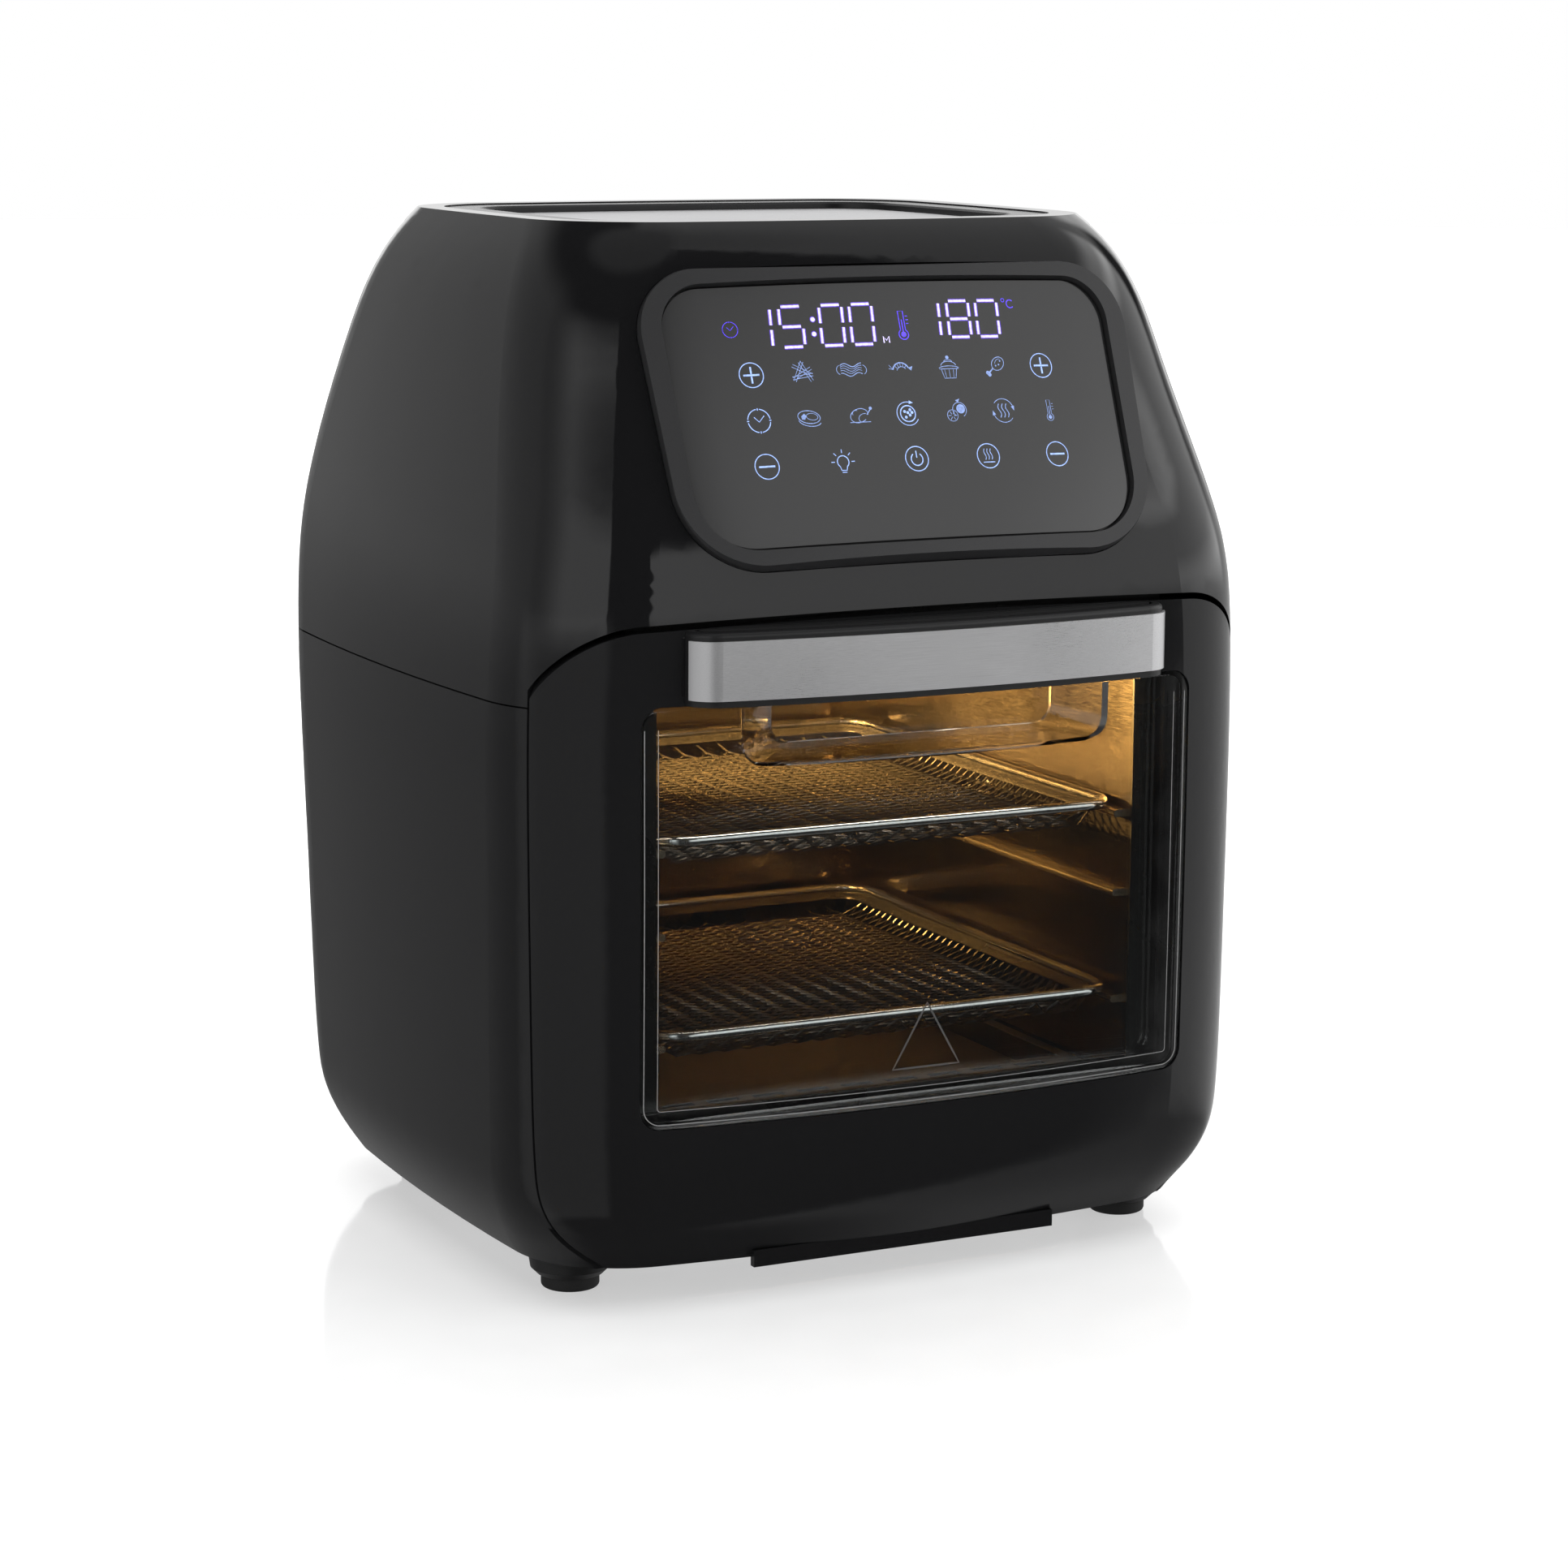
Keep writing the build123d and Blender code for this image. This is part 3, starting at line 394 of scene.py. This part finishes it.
def draw_fries(ink):
    for x, s, angle in ((-1.5, 0.6, 62), (1.6, 0.4, 118), (0, -0.4, 28), (0.2, 0.9, 152), (0, -1.5, 8)):
        a = math.radians(angle)
        dx, ds = 4.4 * math.cos(a), 4.4 * math.sin(a)
        for side in (-0.55, 0.55):
            mid_x, mid_s = x - side * math.sin(a), s + side * math.cos(a)
            ink.line(mid_x - dx, mid_s - ds, mid_x + dx, mid_s + ds, 0.35)


def draw_bacon(ink):
    for row, rise in enumerate((2.2, 1.3, 0.4, -0.5, -1.6)):
        points = [(-4.8 + 0.7 * k, rise + 0.7 * math.sin(0.62 * k + 0.3 * row)) for k in range(14)]
        ink.stroke(points, 0.55 if row in (0, 4) else 0.35)
    ink.arc(4.3, 0.2, 1.9, -70, 75, 0.4)
    ink.arc(-4.6, 0.4, 1.9, 105, 250, 0.4)


def draw_shrimp(ink):
    ink.arc(0, -1.2, 3.6, 25, 165, 0.9)
    ink.arc(0.3, -1.4, 2.2, 35, 160, 0.4)
    for angle in (45, 68, 91, 114, 137):
        c, n = math.cos(math.radians(angle)), math.sin(math.radians(angle))
        ink.line(2.2 * c, -1.3 + 2.2 * n, 3.9 * c, -1.2 + 3.9 * n, 0.35)
    ink.fill([(3.1, 0.3), (5.2, 0.9), (4.4, -0.9)])
    ink.line(-3.4, -0.3, -5, 1.6, 0.3)
    ink.line(-3.4, -0.3, -5.2, 0.2, 0.3)


def draw_cupcake(ink):
    ink.stroke([(-3.4, -0.6), (-2.5, -4.4), (2.5, -4.4), (3.4, -0.6)], 0.45)
    for x in (-1.6, 0, 1.6):
        ink.line(1.2 * x, -1, x, -4.2, 0.35)
    ink.arc(0, -0.4, 4.3, 0, 180, 0.45, 0.22)
    ink.arc(0, 0.4, 3.4, 10, 170, 0.45, 0.6)
    ink.arc(0, 1.9, 2, 15, 165, 0.4, 0.6)
    ink.line(-4.2, -0.6, 4.2, -0.6, 0.45)
    ink.dot(0, 4, 0.75)


def draw_drumstick(ink):
    ink.arc(1.2, 1, 3.1, 0, 360, 0.45, 0.78, 40)
    ink.arc(1.5, 1.5, 1.7, 20, 150, 0.35, 0.7, 40)
    ink.dot(0.2, 0.2, 0.35)
    ink.dot(1.6, 0.6, 0.35)
    ink.dot(2.4, 2.1, 0.35)
    ink.line(-1.3, -0.9, -3.2, -2.6, 0.9)
    ink.dot(-3.9, -2.6, 0.8)
    ink.dot(-3.2, -3.4, 0.8)


def draw_steak(ink):
    ink.arc(-0.4, 0.4, 4.6, 0, 360, 0.5, 0.55, -8)
    ink.arc(0.9, 0.5, 2.4, 0, 360, 0.35, 0.55, -8)
    ink.fill([(-3.6, 0.8), (-2.2, 1.9), (-1.4, 0.9), (-2.2, -0.6), (-3.4, -0.4)])
    ink.arc(-0.2, -0.9, 4.7, 190, 345, 0.5, 0.5, -8)


def draw_roast(ink):
    ink.arc(-0.3, 0, 3.9, -20, 300, 0.5, 0.68, 18)
    ink.arc(1.4, -0.9, 2.2, 40, 250, 0.4, 0.7, 25)
    ink.line(3, 0.3, 4.6, 2.2, 0.7)
    ink.dot(4.9, 2.8, 0.65)
    ink.line(-4.6, -2.6, 4.2, -2.6, 0.45)
    ink.arc(-1.6, 0.8, 1.4, 60, 200, 0.35)


def draw_pizza(ink):
    ink.arc(-0.4, 0, 3.2, 0, 360, 0.6)
    for x, s in ((-1.7, 0.9), (0.7, 1.5), (0.4, -0.6), (-1.4, -1.4), (1.4, 0.4), (-0.4, 0.4)):
        ink.dot(x, s, 0.6)
    ink.arc(-0.4, 0, 4.7, 70, 330, 0.4)
    ink.arrow_head(1.2, 4.5, -10, 1.4)


def draw_fruit(ink):
    ink.arc(1.4, 0.8, 3, -60, 230, 0.45)
    ink.dot(2, 1.2, 1.9)
    ink.arc(-2, -1.4, 2.3, 0, 360, 0.4)
    for k in range(6):
        c, n = math.cos(math.radians(60 * k)), math.sin(math.radians(60 * k))
        ink.line(-2 + 0.6 * c, -1.4 + 0.6 * n, -2 + 1.9 * c, -1.4 + 1.9 * n, 0.4)
    ink.fill([(1.2, 3.7), (2.2, 5.3), (0.2, 4.7)])


def draw_air_waves(ink):
    for x in (-1.7, 0, 1.7):
        ink.wave(x, -2.8, 2.8, 0.55, 0.6)
    ink.arc(0, 0, 4.8, 20, 140, 0.45)
    ink.arc(0, 0, 4.8, 200, 320, 0.45)
    ink.arrow_head(4.5, 1.3, -75, 1.5)
    ink.arrow_head(-4.5, -1.3, 105, 1.5)


def draw_thermometer(ink):
    ink.stroke([(-0.8, -1.8), (-0.8, 3.9), (0.8, 3.9), (0.8, -1.8)], 0.35)
    ink.arc(0, -3, 1.5, -235, 55, 0.4)
    ink.dot(0, -3, 0.8)
    ink.line(0, -2.6, 0, 1.4, 0.4)
    for s in (0.2, 1.3, 2.4):
        ink.line(1.3, s, 2.1, s, 0.3)


def draw_bulb(ink):
    ink.arc(0, 0.2, 2.4, -50, 230, 0.5)
    ink.stroke([(-1.5, -1.6), (-1.1, -3.2), (1.1, -3.2), (1.5, -1.6)], 0.45)
    ink.line(-1, -4, 1, -4, 0.45)
    for angle in (0, 45, 90, 135, 180):
        a = math.radians(angle)
        ink.line(3.5 * math.cos(a), 0.2 + 3.5 * math.sin(a), 4.9 * math.cos(a), 0.2 + 4.9 * math.sin(a), 0.45)


def draw_power(ink):
    draw_ring(ink)
    ink.arc(0, -0.2, 2.5, 125, 415, 0.6)
    ink.line(0, 0.4, 0, 3.2, 0.6)


def draw_keep_warm(ink):
    draw_ring(ink)
    for x in (-1.4, 0, 1.4):
        ink.wave(x, -1.5, 2.9, 0.35, 0.35)
    ink.line(-2.6, -2.5, 2.6, -2.5, 0.45)


TOP_ROW = (draw_plus, draw_fries, draw_bacon, draw_shrimp, draw_cupcake, draw_drumstick, draw_plus)
MIDDLE_ROW = (draw_clock, draw_steak, draw_roast, draw_pizza, draw_fruit, draw_air_waves, draw_thermometer)
BOTTOM_ROW = (draw_minus, draw_bulb, draw_power, draw_keep_warm, draw_minus)
ROWS = ((TOP_ROW, 34.4, 20), (MIDDLE_ROW, 17.2, 20), (BOTTOM_ROW, 0, 30))
CONTROLS = (draw_plus, draw_minus, draw_clock, draw_bulb, draw_power, draw_keep_warm, draw_pizza)


def make_symbols(bright, dim):
    """Touch symbols: the controls shine, the food programs glow faintly."""
    for row, (symbols, s, pitch) in enumerate(ROWS):
        for column, draw in enumerate(symbols):
            ink = Ink()
            shines = draw in CONTROLS
            ink.move_to(pitch * (column - (len(symbols) - 1) / 2), s, 0.95, 0.75 if shines else 0.6)
            draw(ink)
            name = f"symbol_{row}_{column}_{draw.__name__[5:]}"
            new_piece(name, ink.bm, bright if shines else dim, "oven")


def make_pane_outline(mat):
    """Triangle outline low on the window pane, drawn as a flat grey ribbon: a painted highlight standing in
    for the edge of a triangle moulded in the clear glass.
    """
    points = []
    for (x0, z0), (x1, z1) in zip(OUTLINE_CORNERS, OUTLINE_CORNERS[1:] + OUTLINE_CORNERS[:1]):
        points += [(x0 + (x1 - x0) * k / 6, z0 + (z1 - z0) * k / 6) for k in range(6)]
    ink = Ink(OUTLINE_LIFT, pane_point)
    ink.stroke(points, OUTLINE_WIDE, closed=True)
    new_piece("pane_outline", ink.bm, mat, "door")


def make_pane_rim(mat):
    """Two fine grey ribbons just inside the window's sides and bottom: painted highlights standing in for the
    pane's bevelled edge and the edges seen behind it.
    """
    top = WINDOW_HIGH - WINDOW_R
    for label, inset, width in RIM_HIGHLIGHT_LINES:
        side, base = WINDOW_HALF - inset, WINDOW_LOW + inset
        r = WINDOW_R - inset
        left = [(-side, top + (base + r - top) * k / 12) for k in range(12)]
        for k in range(9):
            a = math.pi / 2 * k / 8
            left.append((-side + r - r * math.cos(a), base + r - r * math.sin(a)))
        middle = [((side - r) * k / 6, base) for k in range(-5, 6)]
        ink = Ink(RIM_HIGHLIGHT_LIFT, pane_point)
        ink.stroke(left + middle + [(-x, z) for x, z in reversed(left)], width)
        new_piece(f"pane_rim_highlight_{label}", ink.bm, mat, "door")


# segments of a digit: a top, b and c right, d bottom, e and f left, g middle
DIGITS = {"0": "abcdef", "1": "bc", "5": "afgcd", "8": "abcdefg"}


def digit_strokes(digit, wide, tall):
    """End points of each lit bar, inside a box from the origin."""
    gap, half = 0.9, tall / 2
    bars = {
        "a": ((gap, tall), (wide - gap, tall)), "g": ((gap, half), (wide - gap, half)),
        "d": ((gap, 0), (wide - gap, 0)), "b": ((wide, half + gap), (wide, tall - gap)),
        "c": ((wide, gap), (wide, half - gap)), "f": ((0, half + gap), (0, tall - gap)),
        "e": ((0, gap), (0, half - gap)),
    }
    return [bars[bar] for bar in DIGITS[digit]]


def draw_number(ink, text, x, s, wide, tall, thick):
    """Slanted seven-bar digits; a colon is two dots."""
    for char in text:
        ink.move_to(x, s)
        if char == ":":
            for rise in (0.3, 0.66):
                ink.dot(0.9 + DIGIT_LEAN * rise * tall, rise * tall, 0.45 * thick + 0.45)
            x += 3.9
            continue
        cell = 0 if char == "1" else wide
        for (x0, s0), (x1, s1) in digit_strokes(char, cell, tall):
            ink.stroke([(x0 + DIGIT_LEAN * s0, s0), (x1 + DIGIT_LEAN * s1, s1)], thick)
        x += cell + (3.6 if char == "1" else 3.1)


def draw_m(ink):
    ink.stroke([(-1.6, -1.7), (-1.6, 1.7), (0, -0.4), (1.6, 1.7), (1.6, -1.7)], 1.0)


def draw_degree_c(ink):
    ink.arc(-2.1, 1.6, 0.75, 0, 360, 0.4)
    ink.arc(1.2, 0, 1.7, 45, 315, 0.6)


def make_display(core, glow, violet):
    """Time and temperature in lit bars over a wider glow, and the small marks beside them."""
    numbers = (("time", "15:00", -49.6, 44.2, 9.1, 15.4), ("heat", "180", 19.4, 46, 9.2, 14))
    layers = (("glow", GLOW_THICK, GLOW_LIFT, glow), ("bars", BAR_THICK, INK_LIFT, core))
    for label, text, x, s, wide, tall in numbers:
        for name, thick, lift, mat in layers:
            ink = Ink(lift)
            draw_number(ink, text, x, s, wide, tall, thick)
            new_piece(f"display_{label}_{name}", ink.bm, mat, "oven")
    marks = (("minutes", draw_m, -3.7, 45.7, 0.7, core), ("degrees", draw_degree_c, 50.2, 58.6, 0.9, violet),
             ("clock", draw_clock, -65.2, 51.8, 0.64, violet),
             ("thermometer", draw_thermometer, 3.8, 51.4, 1.3, violet))
    for name, draw, x, s, scale, mat in marks:
        ink = Ink()
        ink.move_to(x, s, scale, 0.72)
        draw(ink)
        new_piece(f"display_{name}", ink.bm, mat, "oven")


# ------------------------------------------------------------------ screws of the back
BACK_SCREWS = (("lower_housing", -118, 62), ("lower_housing", 118, 62), ("lower_housing", -118, 205),
               ("lower_housing", 118, 205), ("upper_housing", -96, 335), ("upper_housing", 96, 335))
HEAD_PROFILE = ((3.9, -0.6), (3.9, 0.35), (3.5, 0.85), (2.6, 1.2), (1.4, 1.4))   # radius, height
HEAD_SIDES = 28
# height of a flat dark cross laid just over the head top: painted shade where the cross recess would be
# hollow
SHADE_CROSS_LEVEL = 1.43
CROSS = ((0.35, 0.35), (0.35, 1.9), (-0.35, 1.9), (-0.35, 0.35), (-1.9, 0.35), (-1.9, -0.35),
         (-0.35, -0.35), (-0.35, -1.9), (0.35, -1.9), (0.35, -0.35), (1.9, -0.35), (1.9, 0.35))


def make_back_screws(steel, dark):
    """Pan-head screws square to the back of the housings, each with a flat dark cross over its head: painted
    shade standing in for the cross recess.
    """
    for index, (node, x, z) in enumerate(BACK_SCREWS):
        place_at, normal = surface_point(node, x, z, 1)
        stand = Matrix.Translation(place_at) @ normal.to_track_quat("Z", "Y").to_matrix().to_4x4()
        head, recess = bmesh.new(), bmesh.new()
        turns = [2 * math.pi * k / HEAD_SIDES for k in range(HEAD_SIDES)]
        rings = []
        for r, rise in HEAD_PROFILE:
            rings.append([head.verts.new(stand @ (Vector((r * math.cos(a), r * math.sin(a), rise)) * MM))
                          for a in turns])
        for a, b in zip(rings, rings[1:]):
            for k in range(HEAD_SIDES):
                n = (k + 1) % HEAD_SIDES
                head.faces.new((a[k], a[n], b[n], b[k]))
        head.faces.new(rings[-1])
        # the recess is not cut: this flat dark cross over the head is painted shade
        recess.faces.new([recess.verts.new(stand @ (Vector((u, v, SHADE_CROSS_LEVEL)) * MM)) for u, v in CROSS])
        new_piece(f"back_screw_{index}", head, steel, "oven", smooth=True)
        new_piece(f"back_screw_{index}_recess", recess, dark, "oven")


# ------------------------------------------------------------------ trays
def rounded_outline(wide, long, r, steps=8):
    """Rounded rectangle around the origin, anticlockwise."""
    points = []
    for corner in range(4):
        cx = (wide / 2 - r) * (1 if corner in (0, 3) else -1)
        cy = (long / 2 - r) * (1 if corner < 2 else -1)
        for k in range(steps + 1):
            a = math.pi / 2 * (corner + k / steps)
            points.append((cx + r * math.cos(a), cy + r * math.sin(a)))
    return points


def inside_depth(x, y, wide, long, r):
    """How far a point is inside the rounded rectangle; negative outside."""
    dx, dy = abs(x) - (wide / 2 - r), abs(y) - (long / 2 - r)
    if dx > 0 and dy > 0:
        return r - math.hypot(dx, dy)
    return r - max(dx, dy)


def tray_height(depth):
    """Floor and sloped wall of the tray, above its floor."""
    rise = TRAY_FLOOR_DROP + TRAY_EDGE_RISE - SHEET_LIFT
    t = min(max(depth / TRAY_WALL, 0), 1)
    return rise * (1 - t * t * (3 - 2 * t))


def make_tray_sheet(name, level, mat, body, node):
    """Expanded-metal tray: diamond openings between twisted strands, and a folded edge."""
    bm = bmesh.new()
    corners = {}

    def corner(x, y, lift):
        key = (round(x, 3), round(y, 3))
        if key not in corners:
            depth = inside_depth(x, y, TRAY_TOP_WIDE, TRAY_TOP_LONG, TRAY_CORNER_R)
            z = level - TRAY_FLOOR_DROP + SHEET_LIFT + tray_height(depth) + lift
            corners[key] = bm.verts.new(Vector((x, y + TRAY_CENTRE_Y, z)) * MM)
        return corners[key]

    columns = int(TRAY_TOP_WIDE / DIAMOND_WIDE) + 1
    rows = int(TRAY_TOP_LONG / DIAMOND_LONG) + 1
    for shift in (0, 0.5):
        for i in range(-columns, columns + 1):
            for j in range(-rows, rows + 1):
                x, y = (i + shift) * DIAMOND_WIDE, (j + shift) * DIAMOND_LONG
                if inside_depth(x, y, TRAY_TOP_WIDE, TRAY_TOP_LONG, TRAY_CORNER_R) < DIAMOND_WIDE / 2 - 1:
                    continue
                side = STRAND_TWIST if shift else -STRAND_TWIST
                bm.faces.new((corner(x - DIAMOND_WIDE / 2, y, side), corner(x, y - DIAMOND_LONG / 2, -side),
                              corner(x + DIAMOND_WIDE / 2, y, side), corner(x, y + DIAMOND_LONG / 2, -side)))
    sheet = new_piece(name, bm, mat, body)
    wire = sheet.modifiers.new("strands", "WIREFRAME")
    wire.thickness = STRAND * MM
    wire.use_even_offset = False
    flatten(sheet)
    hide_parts(node)

    edge = bmesh.new()
    rings = []
    for inset, rise in EDGE_PROFILE:
        outline = rounded_outline(TRAY_TOP_WIDE - 2 * inset, TRAY_TOP_LONG - 2 * inset, TRAY_CORNER_R - inset)
        rings.append([edge.verts.new(Vector((x, y + TRAY_CENTRE_Y, level + rise)) * MM) for x, y in outline])
    join_rings(edge, rings)
    new_piece(name + "_edge", edge, mat, body, smooth=True)


def join_rings(bm, rings):
    """Closed tube through closed rings, the last joined to the first."""
    for a, b in zip(rings, rings[1:] + rings[:1]):
        for k in range(len(a)):
            n = (k + 1) % len(a)
            bm.faces.new((a[k], a[n], b[n], b[k]))
    bmesh.ops.recalc_face_normals(bm, faces=bm.faces)


def flatten(piece):
    """Turns a piece's modifiers into plain mesh."""
    evaluated = piece.evaluated_get(bpy.context.evaluated_depsgraph_get())
    mesh = bpy.data.meshes.new_from_object(evaluated)
    piece.modifiers.clear()
    piece.data = mesh


# ------------------------------------------------------------------ studio (metres)
CAMERA_PLACE = (-0.7018, -1.4289, 0.4589)
CAMERA_YAW, CAMERA_PITCH, CAMERA_ROLL = math.radians(26.5), math.radians(10.36), math.radians(0.36)
CAMERA_LENS = 93.3
POLISHED_R, MATT_R = 0.5, 1.1


def make_camera():
    """Camera in front of the oven's left corner, a little above it."""
    data = bpy.data.cameras.new("camera")
    data.lens = CAMERA_LENS
    data.sensor_width = 36
    camera = bpy.data.objects.new("camera", data)
    bpy.context.scene.collection.objects.link(camera)
    flat = math.cos(CAMERA_PITCH)
    ahead = Vector((math.sin(CAMERA_YAW) * flat, math.cos(CAMERA_YAW) * flat, -math.sin(CAMERA_PITCH)))
    right = Vector((math.cos(CAMERA_YAW), -math.sin(CAMERA_YAW), 0))
    up = right.cross(ahead)
    c, n = math.cos(CAMERA_ROLL), math.sin(CAMERA_ROLL)
    x, y = c * right + n * up, c * up - n * right
    camera.matrix_world = Matrix.Translation(CAMERA_PLACE) @ Matrix((x, y, -ahead)).transposed().to_4x4()
    bpy.context.scene.camera = camera


def floor_material():
    """Polished white near the oven, so it mirrors it faintly; matt and bright further out."""
    mat, tree, shader = new_material("floor_white", Specular_IOR_Level=0.35, Emission_Color=(1, 1, 1, 1))
    grain = noise(tree, place(tree, (1, 1, 1)), 40, 4, 0.6)
    tree.links.new(two_tone(tree, grain, (0.62, 0.62, 0.62), (0.66, 0.66, 0.66)), shader.inputs["Base Color"])
    away = tree.nodes.new("ShaderNodeVectorMath")
    away.operation = "LENGTH"
    tree.links.new(tree.nodes.new("ShaderNodeTexCoord").outputs["Object"], away.inputs["Vector"])
    for socket, near, far in (("Roughness", 0.085, 0.85), ("Emission Strength", 0.5, 0.95)):
        changed = spread(tree, away.outputs["Value"], near, far, POLISHED_R, MATT_R)
        tree.links.new(changed, shader.inputs[socket])
    return mat


def make_floor():
    """Round white floor, left out of reflections and of what the glass shows."""
    bm = bmesh.new()
    bmesh.ops.create_circle(bm, cap_ends=True, segments=96, radius=9)
    mesh = bpy.data.meshes.new("floor")
    bm.to_mesh(mesh)
    bm.free()
    floor = bpy.data.objects.new("floor", mesh)
    bpy.context.scene.collection.objects.link(floor)
    mesh.materials.append(floor_material())
    floor.visible_glossy = False
    floor.visible_transmission = False


# Soft boxes of studio light, in degrees. Azimuth is 0 in front of the oven and 90 at its right side, and
# elevation is up from the horizon. Each row holds the azimuth's start, end and softness before and after,
# the same four for the elevation, and the strength.
SKY_BASE = 0.03
SKY_BOXES = (
    ((5, 110, 1.5, 8), (2, 26, 8, 6), 0.95),
    ((20, 112, 2, 8), (26, 35, 5, 9), 0.85),
    ((50, 140, 4, 12), (-14, 2, 9, 9), 0.55),
    ((50, 140, 10, 12), (-60, -20, 10, 9), 0.2),
    ((62, 150, 8, 14), (30, 62, 10, 14), 0.45),
    ((-66, -32, 34, 1.5), (4, 34, 10, 14), 0.85),
    ((-100, -32, 12, 10), (-50, -2, 9, 9), 0.2),
    ((-194, -106, 12, 30), (2, 36, 12, 20), 0.34),
    ((-194, -106, 12, 24), (-60, -10, 20, 12), 0.15),
    ((133, 173, 8, 8), (4, 48, 6, 6), 1.0),
    ((0, 359, 1, 1), (74, 106, 10, 10), 0.2),
)


def calculate(tree, operation, *values):
    """Math node; a value is a number or another node's output."""
    node = tree.nodes.new("ShaderNodeMath")
    node.operation = operation
    for index, value in enumerate(values):
        if isinstance(value, (int, float)):
            node.inputs[index].default_value = value
        else:
            tree.links.new(value, node.inputs[index])
    return node.outputs["Value"]


def window_of(tree, angle, start, end, soft_start, soft_end):
    """1 while the angle is inside, fading to 0 over the softness on either side."""
    middle, half = math.radians((start + end) / 2), (end - start) / 2
    offset = calculate(tree, "WRAP", calculate(tree, "SUBTRACT", angle, middle), math.pi, -math.pi)
    edges = []
    for low, high, begin, finish_at in ((-half - soft_start, -half, 0, 1), (half, half + soft_end, 1, 0)):
        fade = add_node(tree, "ShaderNodeMapRange", {"Value": offset})
        fade.interpolation_type = "SMOOTHSTEP"
        limits = (math.radians(low), math.radians(high), begin, finish_at)
        for socket, number in zip(("From Min", "From Max", "To Min", "To Max"), limits):
            fade.inputs[socket].default_value = number
        edges.append(fade.outputs["Result"])
    return calculate(tree, "MULTIPLY", *edges)


def make_sky():
    """White for the camera; for everything else a dark room with soft boxes of light."""
    world = bpy.data.worlds.new("studio")
    world.use_nodes = True
    bpy.context.scene.world = world
    tree = world.node_tree
    where = tree.nodes.new("ShaderNodeTexCoord").outputs["Generated"]
    parts = add_node(tree, "ShaderNodeSeparateXYZ", {"Vector": where}).outputs
    azimuth = calculate(tree, "ARCTAN2", parts["X"], calculate(tree, "MULTIPLY", parts["Y"], -1))
    elevation = calculate(tree, "ARCSINE", parts["Z"])
    total = SKY_BASE
    for across, upward, strength in SKY_BOXES:
        inside = (window_of(tree, azimuth, *across), window_of(tree, elevation, *upward))
        patch = calculate(tree, "MULTIPLY", *inside)
        total = calculate(tree, "MULTIPLY_ADD", patch, strength, total)
    room = add_node(tree, "ShaderNodeBackground", {"Strength": total})
    room.inputs["Color"].default_value = (1, 1, 1, 1)
    white = tree.nodes["Background"]
    white.inputs["Color"].default_value = (1, 1, 1, 1)
    white.inputs["Strength"].default_value = 1.0
    path = tree.nodes.new("ShaderNodeLightPath")
    mix = add_node(tree, "ShaderNodeMixShader", {
        "Fac": path.outputs["Is Camera Ray"], 1: room.outputs["Background"], 2: white.outputs["Background"]})
    tree.links.new(mix.outputs["Shader"], tree.nodes["World Output"].inputs["Surface"])


def area_light(name, place_at, aim, wide, tall, power, colour=(1, 1, 1)):
    """Rectangular light aimed at a point; power in watts."""
    data = bpy.data.lights.new(name, "AREA")
    data.shape = "RECTANGLE"
    data.size, data.size_y = wide, tall
    data.energy = power
    data.color = colour
    light = bpy.data.objects.new(name, data)
    bpy.context.scene.collection.objects.link(light)
    light.location = place_at
    light.rotation_euler = (Vector(aim) - Vector(place_at)).to_track_quat("-Z", "Y").to_euler()
    return light


def make_lights():
    """Soft light from above, the lamp behind its lens, and a faint strip over the door opening."""
    overhead = area_light("overhead", (0, -0.2, 2.6), (0, 0, 0), wide=3.2, tall=3.2, power=70)
    overhead.visible_glossy = False
    overhead.visible_transmission = False
    lens_low, lens_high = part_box("lamp_lens")
    at = Vector((lens_high.x + 0.003, (lens_low.y + lens_high.y) / 2, (lens_low.z + lens_high.z) / 2))
    lamp = area_light("oven_lamp", at, at + Vector((1, 0, 0.2)), wide=0.02, tall=0.02, power=12,
                      colour=(1.0, 0.56, 0.16))
    lamp.data.spread = math.radians(100)
    strip = area_light("cavity_strip", (0, -0.1135, 0.231), (0, -0.12, 0), wide=0.18, tall=0.004, power=0.06,
                       colour=(1.0, 0.9, 0.8))
    for light in (lamp, strip):
        light.visible_camera = False
        light.visible_transmission = False


# ------------------------------------------------------------------ build
made = dress_frame()
make_camera()
make_floor()
make_sky()
make_lights()
make_symbols(bright=lit("symbol_ink", (0.3, 0.43, 0.82), 0.8),
             dim=lit("program_ink", (0.22, 0.31, 0.6), 0.72))
make_display(core=lit("display_core", (0.58, 0.52, 0.9), 1.05),
             glow=lit("display_glow", (0.1, 0.05, 0.5), 0.8),
             violet=lit("display_violet", (0.09, 0.05, 0.75), 1.2))
# grey finish of the painted highlight on the glass triangle's edge
make_pane_outline(finish("pane_triangle_highlight", (0.06, 0.06, 0.06), (0.09, 0.09, 0.09), (0.2, 0.3), grain=2000))
# grey finish of the window's painted edge highlights
make_pane_rim(finish("pane_edge_highlight", (0.2, 0.2, 0.2), (0.3, 0.3, 0.3), (0.12, 0.2), grain=900))
# the second finish is painted shade for the screws' cross recesses
make_back_screws(made["screw_steel"],
                 finish("painted_recess_shade", (0.01, 0.01, 0.01), (0.02, 0.02, 0.02), (0.5, 0.7)))
make_tray_sheet("upper_tray_sheet", 170, made["mesh_steel"], "upper_tray", "upper_tray_mesh")
make_tray_sheet("lower_tray_sheet", 97, made["mesh_steel"], "lower_tray", "lower_tray_mesh")

bpy.context.scene.view_settings.view_transform = "Standard"
bpy.context.view_layer.update()
